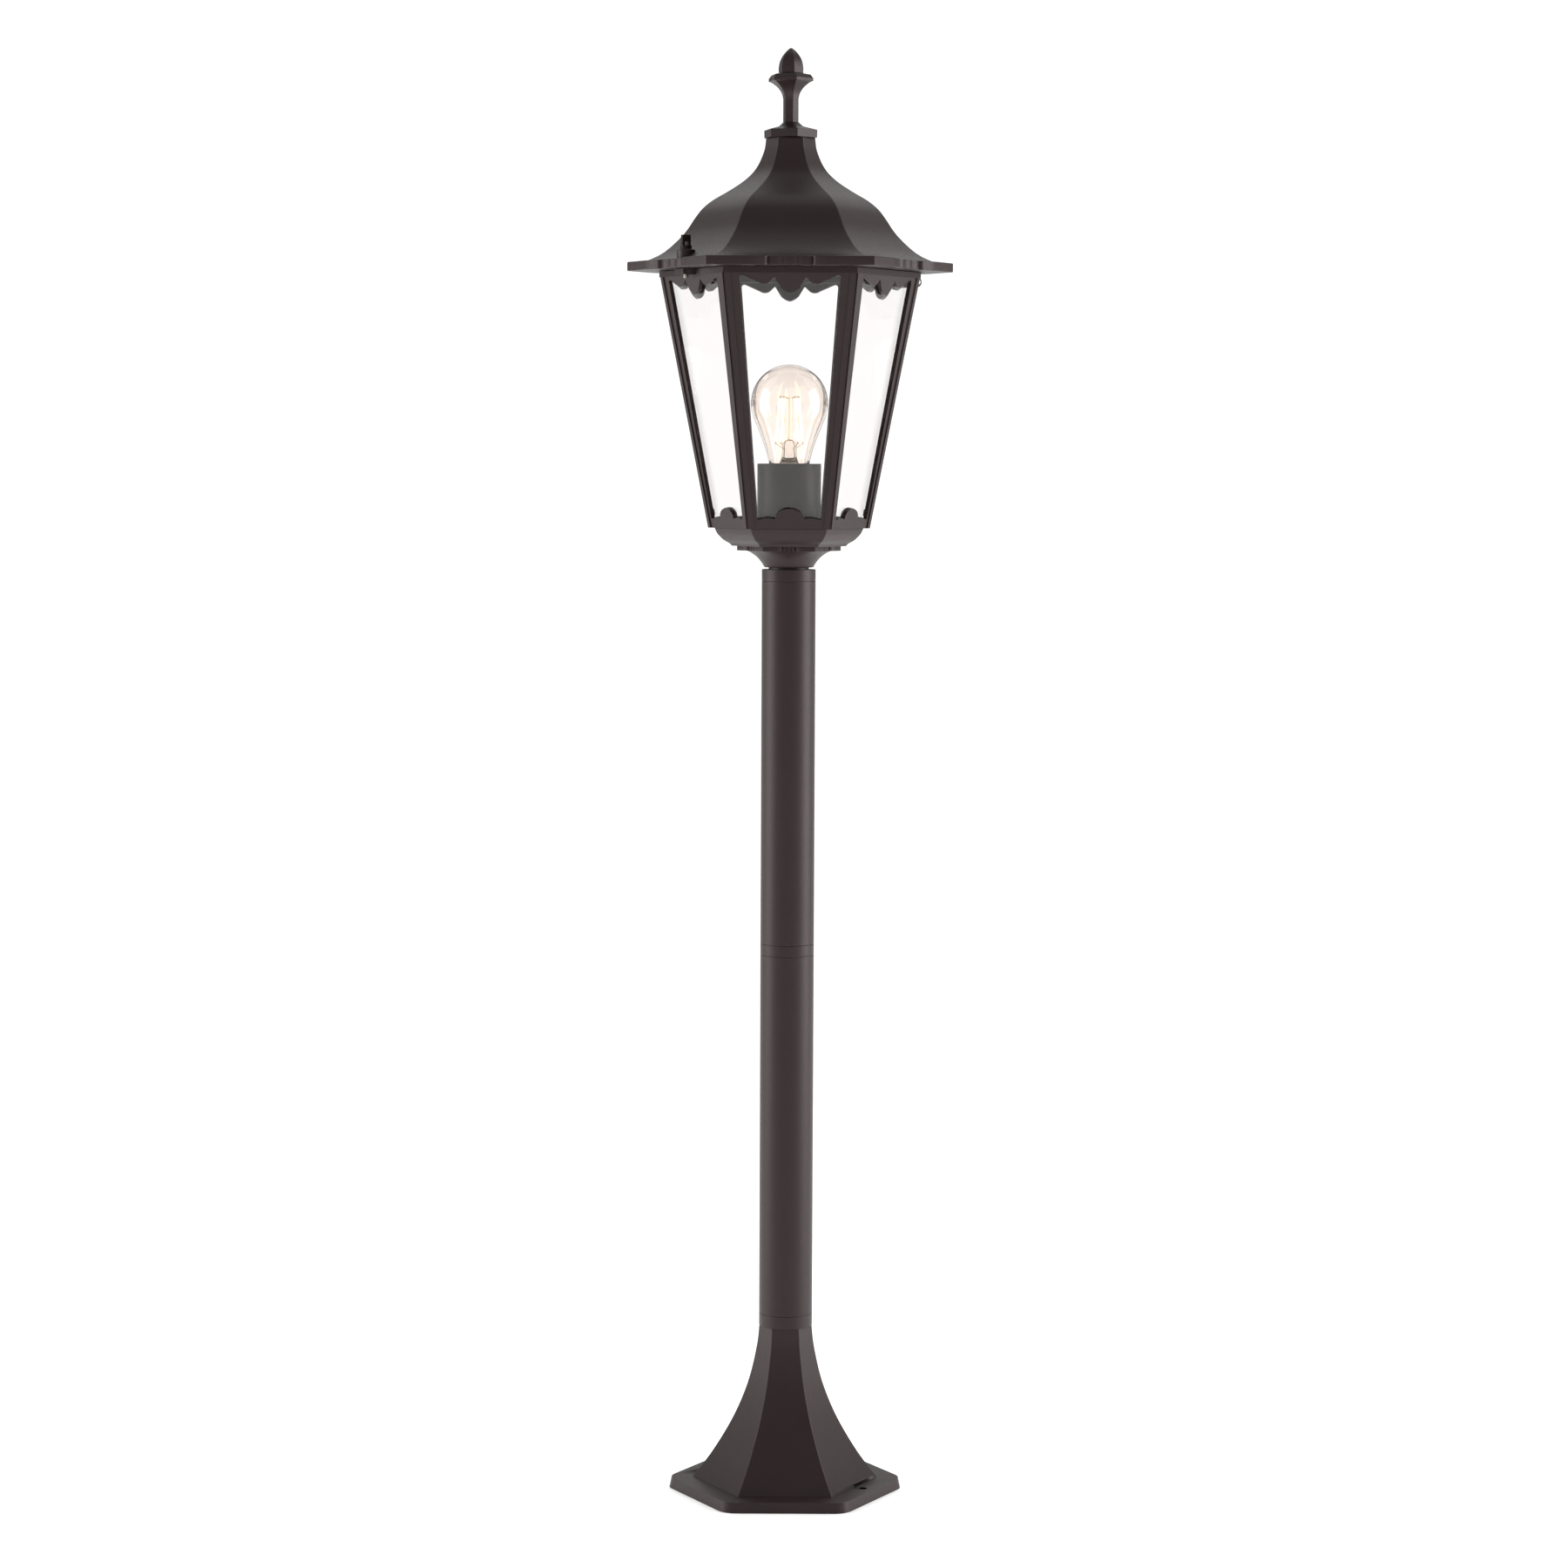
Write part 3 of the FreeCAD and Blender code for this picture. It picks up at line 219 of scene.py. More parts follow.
def hexagon(bm, radius, height, rounding, cuts=0, depth=0.0, turn=0.0):
    """The edges of a level hexagon with rounded corners, one on +X, and scalloped sides.

    The shape holds only such loops so far, so the one face is the hexagon's own.
    """
    spot = Matrix.Translation((0, 0, height)) @ Matrix.Rotation(math.pi / 6 + turn, 4, "Z")
    ring = bmesh.ops.create_circle(bm, cap_ends=True, segments=6, radius=radius, matrix=spot)
    bmesh.ops.bevel(bm, geom=ring["verts"], offset=rounding * math.tan(math.pi / 6), segments=4,
                    profile=0.5, affect="VERTICES", offset_type="OFFSET", material=-1)
    [face] = bm.faces
    longest = max(edge.calc_length() for edge in face.edges)
    if cuts:
        sides = [edge for edge in face.edges if edge.calc_length() > 0.7 * longest]
        bmesh.ops.subdivide_edges(bm, edges=sides, cuts=cuts)
    if depth:
        for vert in face.verts:
            cut_back(vert, radius, depth, turn)
    edges = list(face.edges)
    bmesh.ops.delete(bm, geom=[face], context="FACES_ONLY")
    return edges


def cut_back(vert, radius, depth, turn):
    """Moves a point of a hexagon's side inwards by the scallop."""
    angle = math.atan2(vert.co.y, vert.co.x) - turn
    middle = math.floor(angle / (math.pi / 3)) * math.pi / 3 + math.pi / 6
    along = math.hypot(vert.co.x, vert.co.y) * math.sin(angle - middle)
    inwards = depth * scallop(along / (radius / 2))
    vert.co.x -= inwards * math.cos(middle + turn)
    vert.co.y -= inwards * math.sin(middle + turn)


def bridge(bm, loops):
    """Skins a row of equal loops, leaving both ends open."""
    for first, second in zip(loops, loops[1:]):
        bmesh.ops.bridge_loops(bm, edges=first + second)


def chain(bm, loops, closed=False):
    """Skins a row of equal loops, and joins the last to the first or caps both ends."""
    bridge(bm, loops)
    if closed:
        bmesh.ops.bridge_loops(bm, edges=loops[-1] + loops[0])
    else:
        bmesh.ops.edgeloop_fill(bm, edges=loops[0])
        bmesh.ops.edgeloop_fill(bm, edges=loops[-1])
    bmesh.ops.recalc_face_normals(bm, faces=bm.faces)


def lathe(bm, outline, segments=96, soft=0.0):
    """Spins a closed outline of (radius, height) points about the Z axis."""
    verts = [bm.verts.new((radius, 0, height)) for radius, height in outline]
    pairs = zip(verts, verts[1:] + verts[:1])
    edges = [bm.edges.new(pair) for pair in pairs if pair[0].co.x > 0 or pair[1].co.x > 0]
    bmesh.ops.spin(bm, geom=verts + edges, cent=(0, 0, 0), axis=(0, 0, 1), angle=math.tau,
                   steps=segments, use_merge=True)
    bmesh.ops.remove_doubles(bm, verts=bm.verts, dist=0.0005)
    bmesh.ops.recalc_face_normals(bm, faces=bm.faces)
    if soft:
        soften(bm, soft)


def thread(bm, crest, root, pitch, bottom, top, steps=32):
    """A closed round thread: one pitch of its outline spun up a helix, trimmed at both ends."""
    turns = math.ceil((top - bottom) / pitch) + 2
    wave = [(0.5 - 0.5 * math.cos(math.tau * i / 8), i / 8) for i in range(9)]
    verts = [bm.verts.new((root + (crest - root) * swell, 0, bottom - pitch * (1.5 - rise)))
             for swell, rise in wave]
    edges = [bm.edges.new(pair) for pair in zip(verts, verts[1:])]
    bmesh.ops.spin(bm, geom=verts + edges, cent=(0, 0, 0), axis=(0, 0, 1),
                   dvec=(0, 0, pitch / steps), angle=math.tau * turns, steps=steps * turns)
    bmesh.ops.remove_doubles(bm, verts=bm.verts, dist=0.002)
    for height, normal in ((bottom, -1), (top, 1)):
        everything = bm.verts[:] + bm.edges[:] + bm.faces[:]
        bmesh.ops.bisect_plane(bm, geom=everything, plane_co=(0, 0, height),
                               plane_no=(0, 0, normal), clear_outer=True)
    bmesh.ops.holes_fill(bm, edges=[edge for edge in bm.edges if edge.is_boundary])
    bmesh.ops.recalc_face_normals(bm, faces=bm.faces)


def rod(bm, start, end, radius, segments=12):
    """A round rod between two points."""
    start, end = Vector(start), Vector(end)
    lie = (end - start).to_track_quat("Z", "Y").to_matrix().to_4x4()
    spot = Matrix.Translation((start + end) / 2) @ lie
    bmesh.ops.create_cone(bm, cap_ends=True, segments=segments, radius1=radius, radius2=radius,
                          depth=(end - start).length, matrix=spot)


def soften(bm, width, degrees=30, segments=2, longer=0.0):
    """Rounds the outer edges past a length where two faces meet at more than an angle."""
    limit = math.radians(degrees)
    sharp = [edge for edge in bm.edges if edge.is_convex and edge.calc_face_angle(0) > limit
             and edge.calc_length() > longer]
    bmesh.ops.bevel(bm, geom=sharp, offset=width, offset_type="OFFSET", segments=segments,
                    profile=0.5, affect="EDGES", clamp_overlap=True, material=-1)


def put(name, data):
    """A new object in the scene that shows a mesh, a light or a camera."""
    made = bpy.data.objects.new(name, data)
    bpy.context.scene.collection.objects.link(made)
    return made


def cad_copy(name):
    """A CAD node's shape in millimetres, its loose triangles joined into flat faces."""
    bm = bmesh.new()
    bm.from_mesh(frame["nodes"][name].data)
    bmesh.ops.scale(bm, vec=(1 / MM, 1 / MM, 1 / MM), verts=bm.verts)
    bmesh.ops.remove_doubles(bm, verts=bm.verts, dist=0.002)
    bmesh.ops.dissolve_limit(bm, angle_limit=math.radians(0.5), verts=bm.verts, edges=bm.edges)
    return bm


def make_piece(bm, name, slot, body, nodes=(), sharp=35):
    """Turns a shape in millimetres into a finished object that rides on a body."""
    if not bm.faces:
        raise RuntimeError(f"{name} has no faces")
    bmesh.ops.scale(bm, vec=(MM, MM, MM), verts=bm.verts)
    mesh = bpy.data.meshes.new(name)
    bm.to_mesh(mesh)
    bm.free()
    mesh.shade_smooth()
    mesh.set_sharp_from_angle(angle=math.radians(sharp))
    piece = put(name, mesh)
    even = piece.modifiers.new("even_normals", "WEIGHTED_NORMAL")
    even.keep_sharp = True
    mesh.materials.append(finish(slot))
    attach(piece, body)
    if nodes:
        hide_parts(*nodes)


def carve(bm, cutters):
    """The shape with the closed cutter shapes taken away, by an exact boolean."""
    objects = []
    for number, shape in enumerate([bm] + cutters):
        mesh = bpy.data.meshes.new(f"carving_{number}")
        shape.to_mesh(mesh)
        shape.free()
        objects.append(put(f"carving_{number}", mesh))
    for cutter in objects[1:]:
        step = objects[0].modifiers.new("cut", "BOOLEAN")
        step.operation = "DIFFERENCE"
        step.solver = "EXACT"
        step.object = cutter
    whole = objects[0].evaluated_get(bpy.context.evaluated_depsgraph_get())
    carved = bmesh.new()
    carved.from_mesh(whole.to_mesh())
    for thing in objects:
        mesh = thing.data
        bpy.data.objects.remove(thing)
        bpy.data.meshes.remove(mesh)
    return carved


def pin(x, y, bottom, top, radius, segments=32):
    """A closed upright cylinder for carving."""
    bm = bmesh.new()
    rod(bm, (x, y, bottom), (x, y, top), radius, segments)
    return bm


# ---------------------------------------------------------------- materials

def add_node(tree, kind, inputs=None, **settings):
    """Adds one node. Inputs are values, or the output sockets that feed them."""
    node = tree.nodes.new(kind)
    for name, value in settings.items():
        setattr(node, name, value)
    for name, value in (inputs or {}).items():
        if isinstance(value, bpy.types.NodeSocket):
            tree.links.new(value, node.inputs[name])
        else:
            node.inputs[name].default_value = value
    return node


def new_material(name, **constants):
    """A material with a principled shader, its constants set on the shader's own sockets."""
    material = bpy.data.materials.new(name)
    material.use_nodes = True
    tree = material.node_tree
    shader = tree.nodes["Principled BSDF"]
    for socket, value in constants.items():
        shader.inputs[socket.replace("_", " ")].default_value = value
    return material, tree, shader


def per_mm(size):
    """The scale of a pattern on object coordinates whose features are this many mm apart."""
    return 1 / (size * MM)


def rgba(colour):
    return (*colour, 1.0)


def powder_coat():
    # Polyester powder coat baked on cast aluminium: a dry satin skin, faintly pebbled by the
    # powder's flow, brown-black, with a slow drift in tone where the film is thicker.
    look = bpy.context.scene.lantern_finishes
    material, tree, shader = new_material(
        "powder_coated_aluminium", Specular_IOR_Level=0.4, Specular_Tint=rgba(linear("fff4f5")))
    spot = add_node(tree, "ShaderNodeTexCoord")
    drift = add_node(tree, "ShaderNodeTexNoise", {
        "Vector": spot.outputs["Object"], "Scale": per_mm(35.0), "Detail": 3.0})
    tone = add_node(tree, "ShaderNodeMix", {
        0: drift.outputs["Fac"], 6: rgba(look.coat), 7: rgba(look.coat_light)},
        data_type="RGBA")
    tree.links.new(tone.outputs[2], shader.inputs["Base Color"])
    # The real pebbling is about 0.4 mm across; it is drawn at 0.9 mm so that it shows.
    pebble = add_node(tree, "ShaderNodeTexNoise", {
        "Vector": spot.outputs["Object"], "Scale": per_mm(0.9), "Detail": 2.0})
    gloss = add_node(tree, "ShaderNodeMapRange", {
        "Value": pebble.outputs["Fac"], "From Min": 0.3, "From Max": 0.7,
        "To Min": look.coat_roughness - 0.06, "To Max": look.coat_roughness + 0.08})
    tree.links.new(gloss.outputs["Result"], shader.inputs["Roughness"])
    flow = add_node(tree, "ShaderNodeTexNoise", {
        "Vector": spot.outputs["Object"], "Scale": per_mm(6.0), "Detail": 1.0})
    waves = add_node(tree, "ShaderNodeBump", {
        "Height": flow.outputs["Fac"], "Strength": 0.35, "Distance": 0.12 * MM})
    grain = add_node(tree, "ShaderNodeBump", {
        "Height": pebble.outputs["Fac"], "Strength": 0.35, "Distance": 0.06 * MM,
        "Normal": waves.outputs["Normal"]})
    tree.links.new(grain.outputs["Normal"], shader.inputs["Normal"])
    return material


def float_glass():
    # Clear float glass: almost unseen, with a very slight tint and sharp gloss.
    # Its mirror is turned down, because the leaning panes face a floor brighter than any room's.
    material, tree, shader = new_material(
        "clear_float_glass", Transmission_Weight=1.0, IOR=1.45, Roughness=0.0,
        Specular_IOR_Level=0.15)
    spot = add_node(tree, "ShaderNodeTexCoord")
    melt = add_node(tree, "ShaderNodeTexNoise", {
        "Vector": spot.outputs["Object"], "Scale": per_mm(60.0), "Detail": 2.0})
    tint = add_node(tree, "ShaderNodeMix", {
        0: melt.outputs["Fac"], 6: rgba(linear("fffcfb")), 7: rgba(linear("ffffff"))},
        data_type="RGBA")
    tree.links.new(tint.outputs[2], shader.inputs["Base Color"])
    return material


def blown_glass_with_painted_glow():
    # Blown soda-lime glass of a filament lamp: clear, with a faint painted glow in the lamp's
    # colour that stands in for the halo of light around the filaments.
    look = bpy.context.scene.lantern_finishes
    material, tree, shader = new_material(
        "blown_lamp_glass_painted_glow", Base_Color=rgba(linear("fdf8f3")), Transmission_Weight=1.0, IOR=1.5,
        Roughness=0.0, Emission_Color=rgba(look.glow))
    # Painted glow: the glass in line with the filaments gets a faint emission that fades to none
    # further away, so its top stays clear.
    spot = add_node(tree, "ShaderNodeTexCoord")
    split = add_node(tree, "ShaderNodeSeparateXYZ", {"Vector": spot.outputs["Object"]})
    middle = place("bulb_filaments")
    centre = (middle.z0 + middle.z1) / 2
    painted_glow_strength, reach = 0.015, 38 * MM
    away = add_node(tree, "ShaderNodeMath", {0: split.outputs["Z"], 1: centre * MM},
                    operation="SUBTRACT")
    far = add_node(tree, "ShaderNodeMath", {0: away.outputs["Value"]}, operation="ABSOLUTE")
    painted_glow = add_node(tree, "ShaderNodeMapRange", {
        "Value": far.outputs["Value"], "From Min": 0.0, "From Max": reach,
        "To Min": painted_glow_strength, "To Max": 0.0}, interpolation_type="SMOOTHSTEP")
    tree.links.new(painted_glow.outputs["Result"], shader.inputs["Emission Strength"])
    return material


def black_moulding():
    # Moulded phenolic plastic: near black, satin from the mould, with a faint spark-eroded grain.
    look = bpy.context.scene.lantern_finishes
    material, tree, shader = new_material("black_phenolic", Base_Color=rgba(look.cup),
                                          Specular_IOR_Level=0.2)
    spot = add_node(tree, "ShaderNodeTexCoord")
    grain = add_node(tree, "ShaderNodeTexNoise", {
        "Vector": spot.outputs["Object"], "Scale": per_mm(0.7), "Detail": 2.0})
    gloss = add_node(tree, "ShaderNodeMapRange", {
        "Value": grain.outputs["Fac"], "To Min": 0.38, "To Max": 0.52})
    tree.links.new(gloss.outputs["Result"], shader.inputs["Roughness"])
    bump = add_node(tree, "ShaderNodeBump", {
        "Height": grain.outputs["Fac"], "Strength": 0.1, "Distance": 0.03 * MM})
    tree.links.new(bump.outputs["Normal"], shader.inputs["Normal"])
    return material


def cable_rubber():
    # Extruded rubber sheath: matt black with fine drag lines along its length.
    material, tree, shader = new_material("extruded_rubber", Base_Color=rgba(linear("26241f")))
    spot = add_node(tree, "ShaderNodeTexCoord")
    stretch = add_node(tree, "ShaderNodeMapping", {
        "Vector": spot.outputs["Object"], "Scale": (1.0, 1.0, 0.05)})
    lines = add_node(tree, "ShaderNodeTexNoise", {
        "Vector": stretch.outputs["Vector"], "Scale": per_mm(0.6), "Detail": 2.0})
    gloss = add_node(tree, "ShaderNodeMapRange", {
        "Value": lines.outputs["Fac"], "To Min": 0.6, "To Max": 0.85})
    tree.links.new(gloss.outputs["Result"], shader.inputs["Roughness"])
    return material


def spotted_metal(name, code, dark_code, low, high):
    """A metal whose plating is a little clouded, so that its tone and gloss drift."""
    material, tree, shader = new_material(name, Metallic=1.0)
    spot = add_node(tree, "ShaderNodeTexCoord")
    cloud = add_node(tree, "ShaderNodeTexNoise", {
        "Vector": spot.outputs["Object"], "Scale": per_mm(2.5), "Detail": 4.0})
    tone = add_node(tree, "ShaderNodeMix", {
        0: cloud.outputs["Fac"], 6: rgba(linear(dark_code)), 7: rgba(linear(code))},
        data_type="RGBA")
    gloss = add_node(tree, "ShaderNodeMapRange", {
        "Value": cloud.outputs["Fac"], "To Min": low, "To Max": high})
    tree.links.new(tone.outputs[2], shader.inputs["Base Color"])
    tree.links.new(gloss.outputs["Result"], shader.inputs["Roughness"])
    return material


def plated_steel():
    # Bright zinc plate on turned steel: pale grey, slightly clouded.
    return spotted_metal("zinc_plated_steel", "c8c7c2", "a3a39d", 0.25, 0.42)


def brass():
    # Turned brass, handled: warm yellow with duller patches.
    return spotted_metal("turned_brass", "d9b871", "b08e4a", 0.22, 0.38)


def nickel():
    # Nickel-plated rolled sheet of a lamp cap: pale and quite bright.
    return spotted_metal("nickel_plated_sheet", "d6d2c8", "b9b4a8", 0.18, 0.32)


def porcelain():
    # Glazed white porcelain: warm white body under a clear hard glaze with faint specks.
    material, tree, shader = new_material("glazed_porcelain", Roughness=0.18, Coat_Weight=0.6,
                                          Coat_Roughness=0.06)
    spot = add_node(tree, "ShaderNodeTexCoord")
    specks = add_node(tree, "ShaderNodeTexNoise", {
        "Vector": spot.outputs["Object"], "Scale": per_mm(1.5), "Detail": 5.0})
    tone = add_node(tree, "ShaderNodeMix", {
        0: specks.outputs["Fac"], 6: rgba(linear("e6e2d8")), 7: rgba(linear("f3f0ea"))},
        data_type="RGBA")
    tree.links.new(tone.outputs[2], shader.inputs["Base Color"])
    return material


def black_glass():
    # Vitrite, the black glass that insulates a lamp cap: deep black and glossy.
    material, tree, shader = new_material("vitrite_glass", Base_Color=rgba(linear("16130f")))
    spot = add_node(tree, "ShaderNodeTexCoord")
    flow = add_node(tree, "ShaderNodeTexNoise", {
        "Vector": spot.outputs["Object"], "Scale": per_mm(3.0), "Detail": 2.0})
    gloss = add_node(tree, "ShaderNodeMapRange", {
        "Value": flow.outputs["Fac"], "To Min": 0.08, "To Max": 0.2})
    tree.links.new(gloss.outputs["Result"], shader.inputs["Roughness"])
    return material


def lit_phosphor():
    # Yellow phosphor silicone over a string of light-emitting chips: it glows warm white.
    look = bpy.context.scene.lantern_finishes
    material, tree, shader = new_material(
        "phosphor_silicone", Base_Color=rgba(linear("f4c66a")), Roughness=0.5,
        Emission_Strength=look.filament_strength)
    spot = add_node(tree, "ShaderNodeTexCoord")
    chips = add_node(tree, "ShaderNodeTexNoise", {
        "Vector": spot.outputs["Object"], "Scale": per_mm(1.2), "Detail": 1.0})
    tone = add_node(tree, "ShaderNodeMix", {
        0: chips.outputs["Fac"], 6: rgba(linear("ffce86")), 7: rgba(linear("fff0cf"))},
        data_type="RGBA")
    tree.links.new(tone.outputs[2], shader.inputs["Emission Color"])
    return material


FINISHES = {
    "black_powder_coat": powder_coat, "clear_glass": float_glass, "black_cup": black_moulding,
    "cable_rubber": cable_rubber, "plated_steel": plated_steel, "brass": brass,
    "white_porcelain": porcelain, "bulb_glass": blown_glass_with_painted_glow, "bulb_metal": nickel,
    "bulb_insulator": black_glass, "filament": lit_phosphor,
}
made_finishes = {}


def finish(slot):
    """The material of a slot, made when it is first asked for."""
    if slot not in made_finishes:
        made_finishes[slot] = FINISHES[slot]()
    return made_finishes[slot]


# ---------------------------------------------------------------- operators

class LANTERN_OT_base(bpy.types.Operator):
    """Builds the foot and the flared pedestal as one hollow casting"""
    bl_idname = "lantern.base"
    bl_label = "Base casting"

    def execute(self, context):
        sizes = context.scene.lantern_sizes
        base = place("base_casting")
        foot_radius, foot_height, lean = 94.0, 8.2, math.tan(math.radians(10))
        shoulder = place("pole_bottom_plug").z0
        toe, wall, way = 73.4, 4.2, 9.5
        bolt_distance, bolt_radius = 71.0, 3.0
        recess_length, recess_width, recess_height, recess_depth = 8.5, 7.0, 20.0, 2.0
        rounding, edge = sizes.foot_rounding / MM, sizes.cast_edge / MM
        shrink = foot_height * lean / math.cos(math.pi / 6)
        bm = bmesh.new()
        outline = [(toe * r, foot_height + (shoulder - foot_height) * h)
                   for r, h in smooth_outline(PEDESTAL_OUTLINE, 6)]
        hollow = [(radius - wall, height - 1.0) for radius, height in outline[:-6]]
        loops = [hexagon(bm, toe - wall, base.z0, edge),
                 hexagon(bm, foot_radius, base.z0, rounding),
                 hexagon(bm, foot_radius - shrink, foot_height, rounding)]
        loops += [hexagon(bm, radius, height, edge) for radius, height in outline]
        loops.append(hexagon(bm, way, shoulder, edge))
        loops.append(hexagon(bm, way, hollow[-1][1], edge))
        loops += [hexagon(bm, radius, height, edge) for radius, height in reversed(hollow)]
        chain(bm, loops, closed=True)
        soften(bm, 0.9, degrees=40, segments=3)
        cutters = []
        for angle in (-30, 150):
            turn = math.radians(angle)
            out = Vector((math.cos(turn), math.sin(turn), 0))
            hole = out * bolt_distance
            cutters.append(pin(hole.x, hole.y, -5, 30, bolt_radius))
            # A flat-bottomed recess behind each hole, where a screw's head and driver go.
            recess = bmesh.new()
            middle = out * (bolt_distance - recess_length / 2)
            height = foot_height + (recess_height / 2 - recess_depth)
            spot = (Matrix.Translation((middle.x, middle.y, height))
                    @ Matrix.Rotation(turn, 4, "Z")
                    @ Matrix.Diagonal((recess_length, recess_width, recess_height, 1.0)))
            bmesh.ops.create_cube(recess, size=1.0, matrix=spot)
            cutters.append(recess)
        make_piece(carve(bm, cutters), "pedestal_casting", "black_powder_coat", "lantern",
                   ["base_casting"])
        return {"FINISHED"}


class LANTERN_OT_pole(bpy.types.Operator):
    """Turns the pole's tubes, its bands and its threaded joint"""
    bl_idname = "lantern.pole"
    bl_label = "Pole"

    def execute(self, context):
        soft = context.scene.lantern_sizes.pole_edge / MM
        outside = place("pole_lower_tube").radius
        bore, spigot, socket = outside - 2.0, outside - 2.1, 13.1
        for name, node in (("pole_lower", "pole_lower_tube"), ("pole_upper", "pole_upper_tube")):
            tube = place(node)
            bm = bmesh.new()
            lathe(bm, [(bore, tube.z0), (outside, tube.z0), (outside, tube.z1), (bore, tube.z1)],
                  soft=soft)
            make_piece(bm, name, "black_powder_coat", "lantern", [node])
        plug, lower = place("pole_bottom_plug"), place("pole_lower_tube")
        bm = bmesh.new()
        lathe(bm, [(socket, plug.z0), (outside, plug.z0), (outside, lower.z0), (spigot, lower.z0),
                   (spigot, plug.z1), (socket, plug.z1)], soft=soft)
        make_piece(bm, "pole_foot_band", "black_powder_coat", "lantern", ["pole_bottom_plug"])
        joint, upper = place("pole_joint_socket"), place("pole_upper_tube")
        bm = bmesh.new()
        lathe(bm, [(socket, joint.z0), (spigot, joint.z0), (spigot, lower.z1),
                   (outside, lower.z1), (outside, joint.z1), (socket, joint.z1)], soft=soft)
        make_piece(bm, "pole_joint_band", "black_powder_coat", "lantern", ["pole_joint_socket"])
        collar = place("pole_top_collar")
        way, hole, shelf = 10.0, 15.8, collar.z0 + 3.0
        bm = bmesh.new()
        lathe(bm, [(way, collar.z0), (spigot, collar.z0), (spigot, upper.z1),
                   (outside, upper.z1), (outside, collar.z1), (hole, collar.z1), (hole, shelf),
                   (way, shelf)], soft=soft)
        grub = place("head_grub_screw")
        cutter = bmesh.new()
        middle, inner_end, outer_end = (grub.z0 + grub.z1) / 2, 14.0, 26.0
        rod(cutter, (0, inner_end, middle), (0, outer_end, middle), radius=2.1, segments=24)
        make_piece(carve(bm, [cutter]), "pole_head_band", "black_powder_coat", "lantern",
                   ["pole_top_collar"])
        return {"FINISHED"}


class LANTERN_OT_neck(bpy.types.Operator):
    """Builds the turned neck, the scalloped trim and the hexagonal bowl"""
    bl_idname = "lantern.neck"
    bl_label = "Neck and bowl"

    def execute(self, context):
        sizes = context.scene.lantern_sizes
        neck = place("neck")
        flare, spigot, hole, bore, web, soft = 730.0, 15.7, 5.1, 12.0, 733.0, 0.35
        start, bend, end = (19.2, flare), (23.6, 736.5), (neck.radius, neck.z1)
        bm = bmesh.new()
        lathe(bm, [(bore, neck.z0), (spigot, neck.z0), (spigot, flare), start,
                   *arc(start, bend, end, 14), (hole, neck.z1), (hole, web), (bore, web)],
              soft=soft)
        make_piece(bm, "neck_trumpet", "black_powder_coat", "lantern", ["neck"])
        trim = cad_copy("scalloped_trim")
        soften(trim, soft)
        make_piece(trim, "neck_trim", "black_powder_coat", "lantern", ["scalloped_trim"])
        bowl = place("bowl")
        edge = sizes.cast_edge / MM
        bm = bmesh.new()
        outline = [(bowl.radius * r, bowl.z0 + (bowl.z1 - bowl.z0) * h)
                   for r, h in smooth_outline(BOWL_OUTLINE, 4)]
        hollow = smooth_outline([(43.5, bowl.z0 + 3), (49.0, 752.5), (53.6, 757.0),
                                 (55.0, bowl.z1)], 4)
        loops = [hexagon(bm, radius, height, edge, cuts=2) for radius, height in outline]
        loops += [hexagon(bm, radius, height, edge, cuts=2) for radius, height in reversed(hollow)]
        chain(bm, loops)
        soften(bm, 0.5, degrees=40)
        make_piece(bm, "bowl_casting", "black_powder_coat", "lantern", ["bowl"])
        return {"FINISHED"}


class LANTERN_OT_cage(bpy.types.Operator):
    """Builds the six beaded panel frames and the ring that joins them"""
    bl_idname = "lantern.cage"
    bl_label = "Cage"

    def execute(self, context):
        soft = context.scene.lantern_sizes.plate_edge / MM
        for side in SIDES:
            node = f"panel_frame_{side}"
            panel = cad_copy(node)
            soften(panel, soft, segments=3, longer=20.0)
            make_piece(panel, f"window_{side}", "black_powder_coat", "lantern", [node])
        ring = cad_copy("top_ring")
        soften(ring, 0.3)
        make_piece(ring, "cage_ring", "black_powder_coat", "lantern", ["top_ring"])
        return {"FINISHED"}


